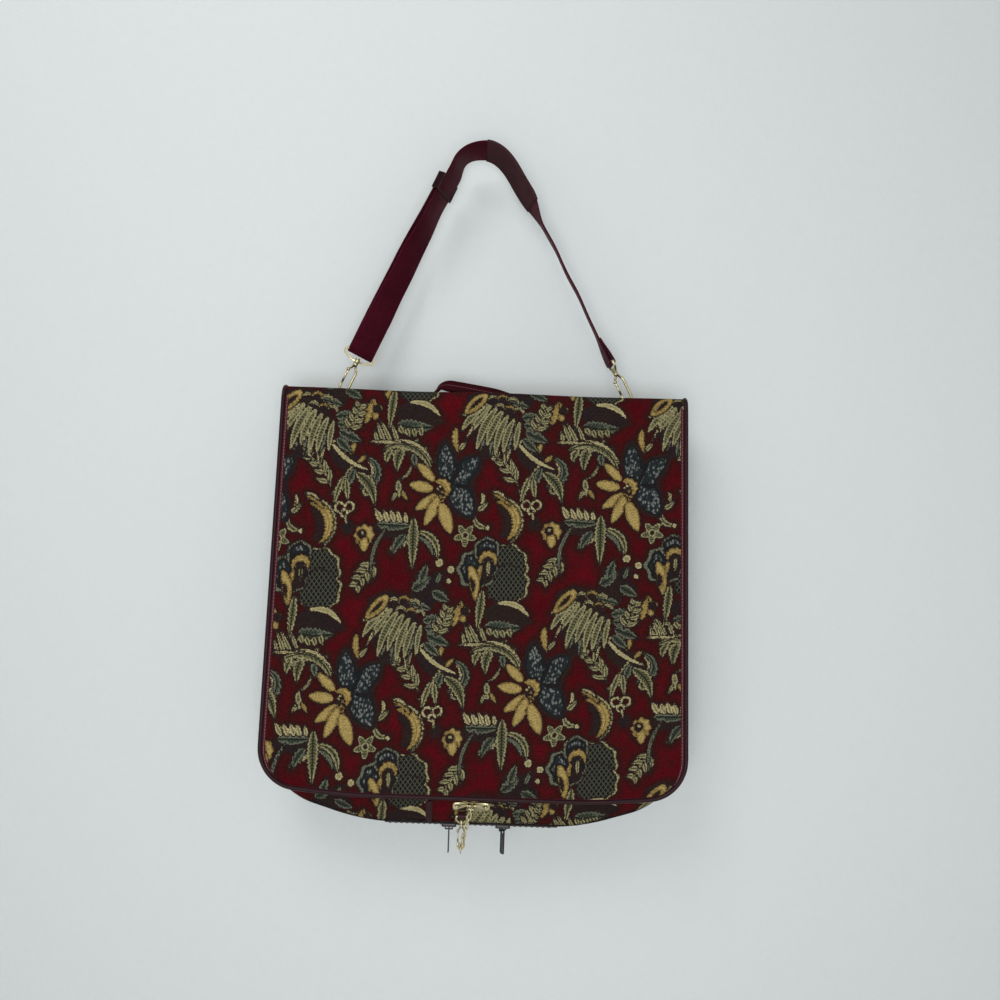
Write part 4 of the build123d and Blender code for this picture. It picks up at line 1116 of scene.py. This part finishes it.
def makeStagePlane(name, rows, color, oneSided):
    bm = bmesh.new()
    addGrid(bm, np.array(rows))
    mesh = bpy.data.meshes.new(name)
    bm.to_mesh(mesh)
    bm.free()
    plane = bpy.data.objects.new(name, mesh)
    scene.collection.objects.link(plane)
    material, tree, shader = newMaterial(name + "Paint", Roughness=0.9)
    coords = objectCoords(tree)
    shade = blendColor(noise(coords, 90.0, 6.0), tuple(0.97 * c for c in color[:3]) + (1,), color)
    dress(shader, shade, height=noise(coords, 210.0, 3.0), strength=0.35, distance=0.0012)
    if oneSided:
        # seen from the front alone, and it throws no light back
        path = put(tree, "LightPath").outputs
        seen = calc("MAXIMUM", path["Is Camera Ray"], path["Is Glossy Ray"])
        front = minus(1.0, put(tree, "NewGeometry").outputs["Backfacing"])
        clear = put(tree, "BsdfTransparent").outputs[0]
        mix = put(tree, "MixShader", {0: times(seen, front), 1: clear, 2: shader.outputs[0]})
        tree.links.new(mix.outputs[0], tree.nodes["Material Output"].inputs["Surface"])
    mesh.materials.append(material)


wallY, floorZ, reach = stageSet["wallY"], stageSet["floorZ"], stageSet["reach"]
ends = (-reach, reach)
makeStagePlane("backWall", [[(x, wallY, z) for x in ends] for z in (floorZ, reach)], tone(208, 214, 214), True)
makeStagePlane("paleFloor", [[(x, y, floorZ) for x in ends] for y in ends], tone(222, 222, 220), False)

world = bpy.data.worlds.new("softRoom")
scene.world = world
world.use_nodes = True
sky = world.node_tree.nodes["Background"].inputs
sky["Color"].default_value = (0.97, 0.985, 1.0, 1)
sky["Strength"].default_value = 0.5


def makeLamp(name, place, aim, size, power, color):
    data = bpy.data.lights.new(name, "AREA")
    data.shape, data.size, data.energy, data.color = "DISK", size, power, color
    lamp = bpy.data.objects.new(name, data)
    lamp.location = place
    lamp.rotation_euler = (Vector(aim) - Vector(place)).to_track_quat("-Z", "Y").to_euler()
    scene.collection.objects.link(lamp)


makeLamp("ceilingSoft", (-0.7, -1.5, 1.1), (0, 0, -0.5), 1.2, 17, (1.0, 0.98, 0.95))
makeLamp("lowWindow", (0.0, -2.0, -0.8), (0.05, 0, -0.5), 1.1, 18, (0.98, 0.99, 1.0))
makeLamp("rearFill", (0.6, 1.8, 0.2), (0, 0, -0.5), 1.4, 16, (1.0, 0.99, 0.97))

shot = {"lens": 30.86, "sensor": 36.0, "place": (0.0359, -1.25, -0.5096), "roll": -1.9}
camera = bpy.data.objects.new("photoCamera", bpy.data.cameras.new("photoCamera"))
camera.data.lens, camera.data.sensor_width = shot["lens"], shot["sensor"]
camera.location = shot["place"]
camera.rotation_euler = (math.pi / 2, math.radians(shot["roll"]), 0)
scene.collection.objects.link(camera)
scene.camera = camera
scene.view_settings.view_transform = "Standard"
print("stage, light and camera set")
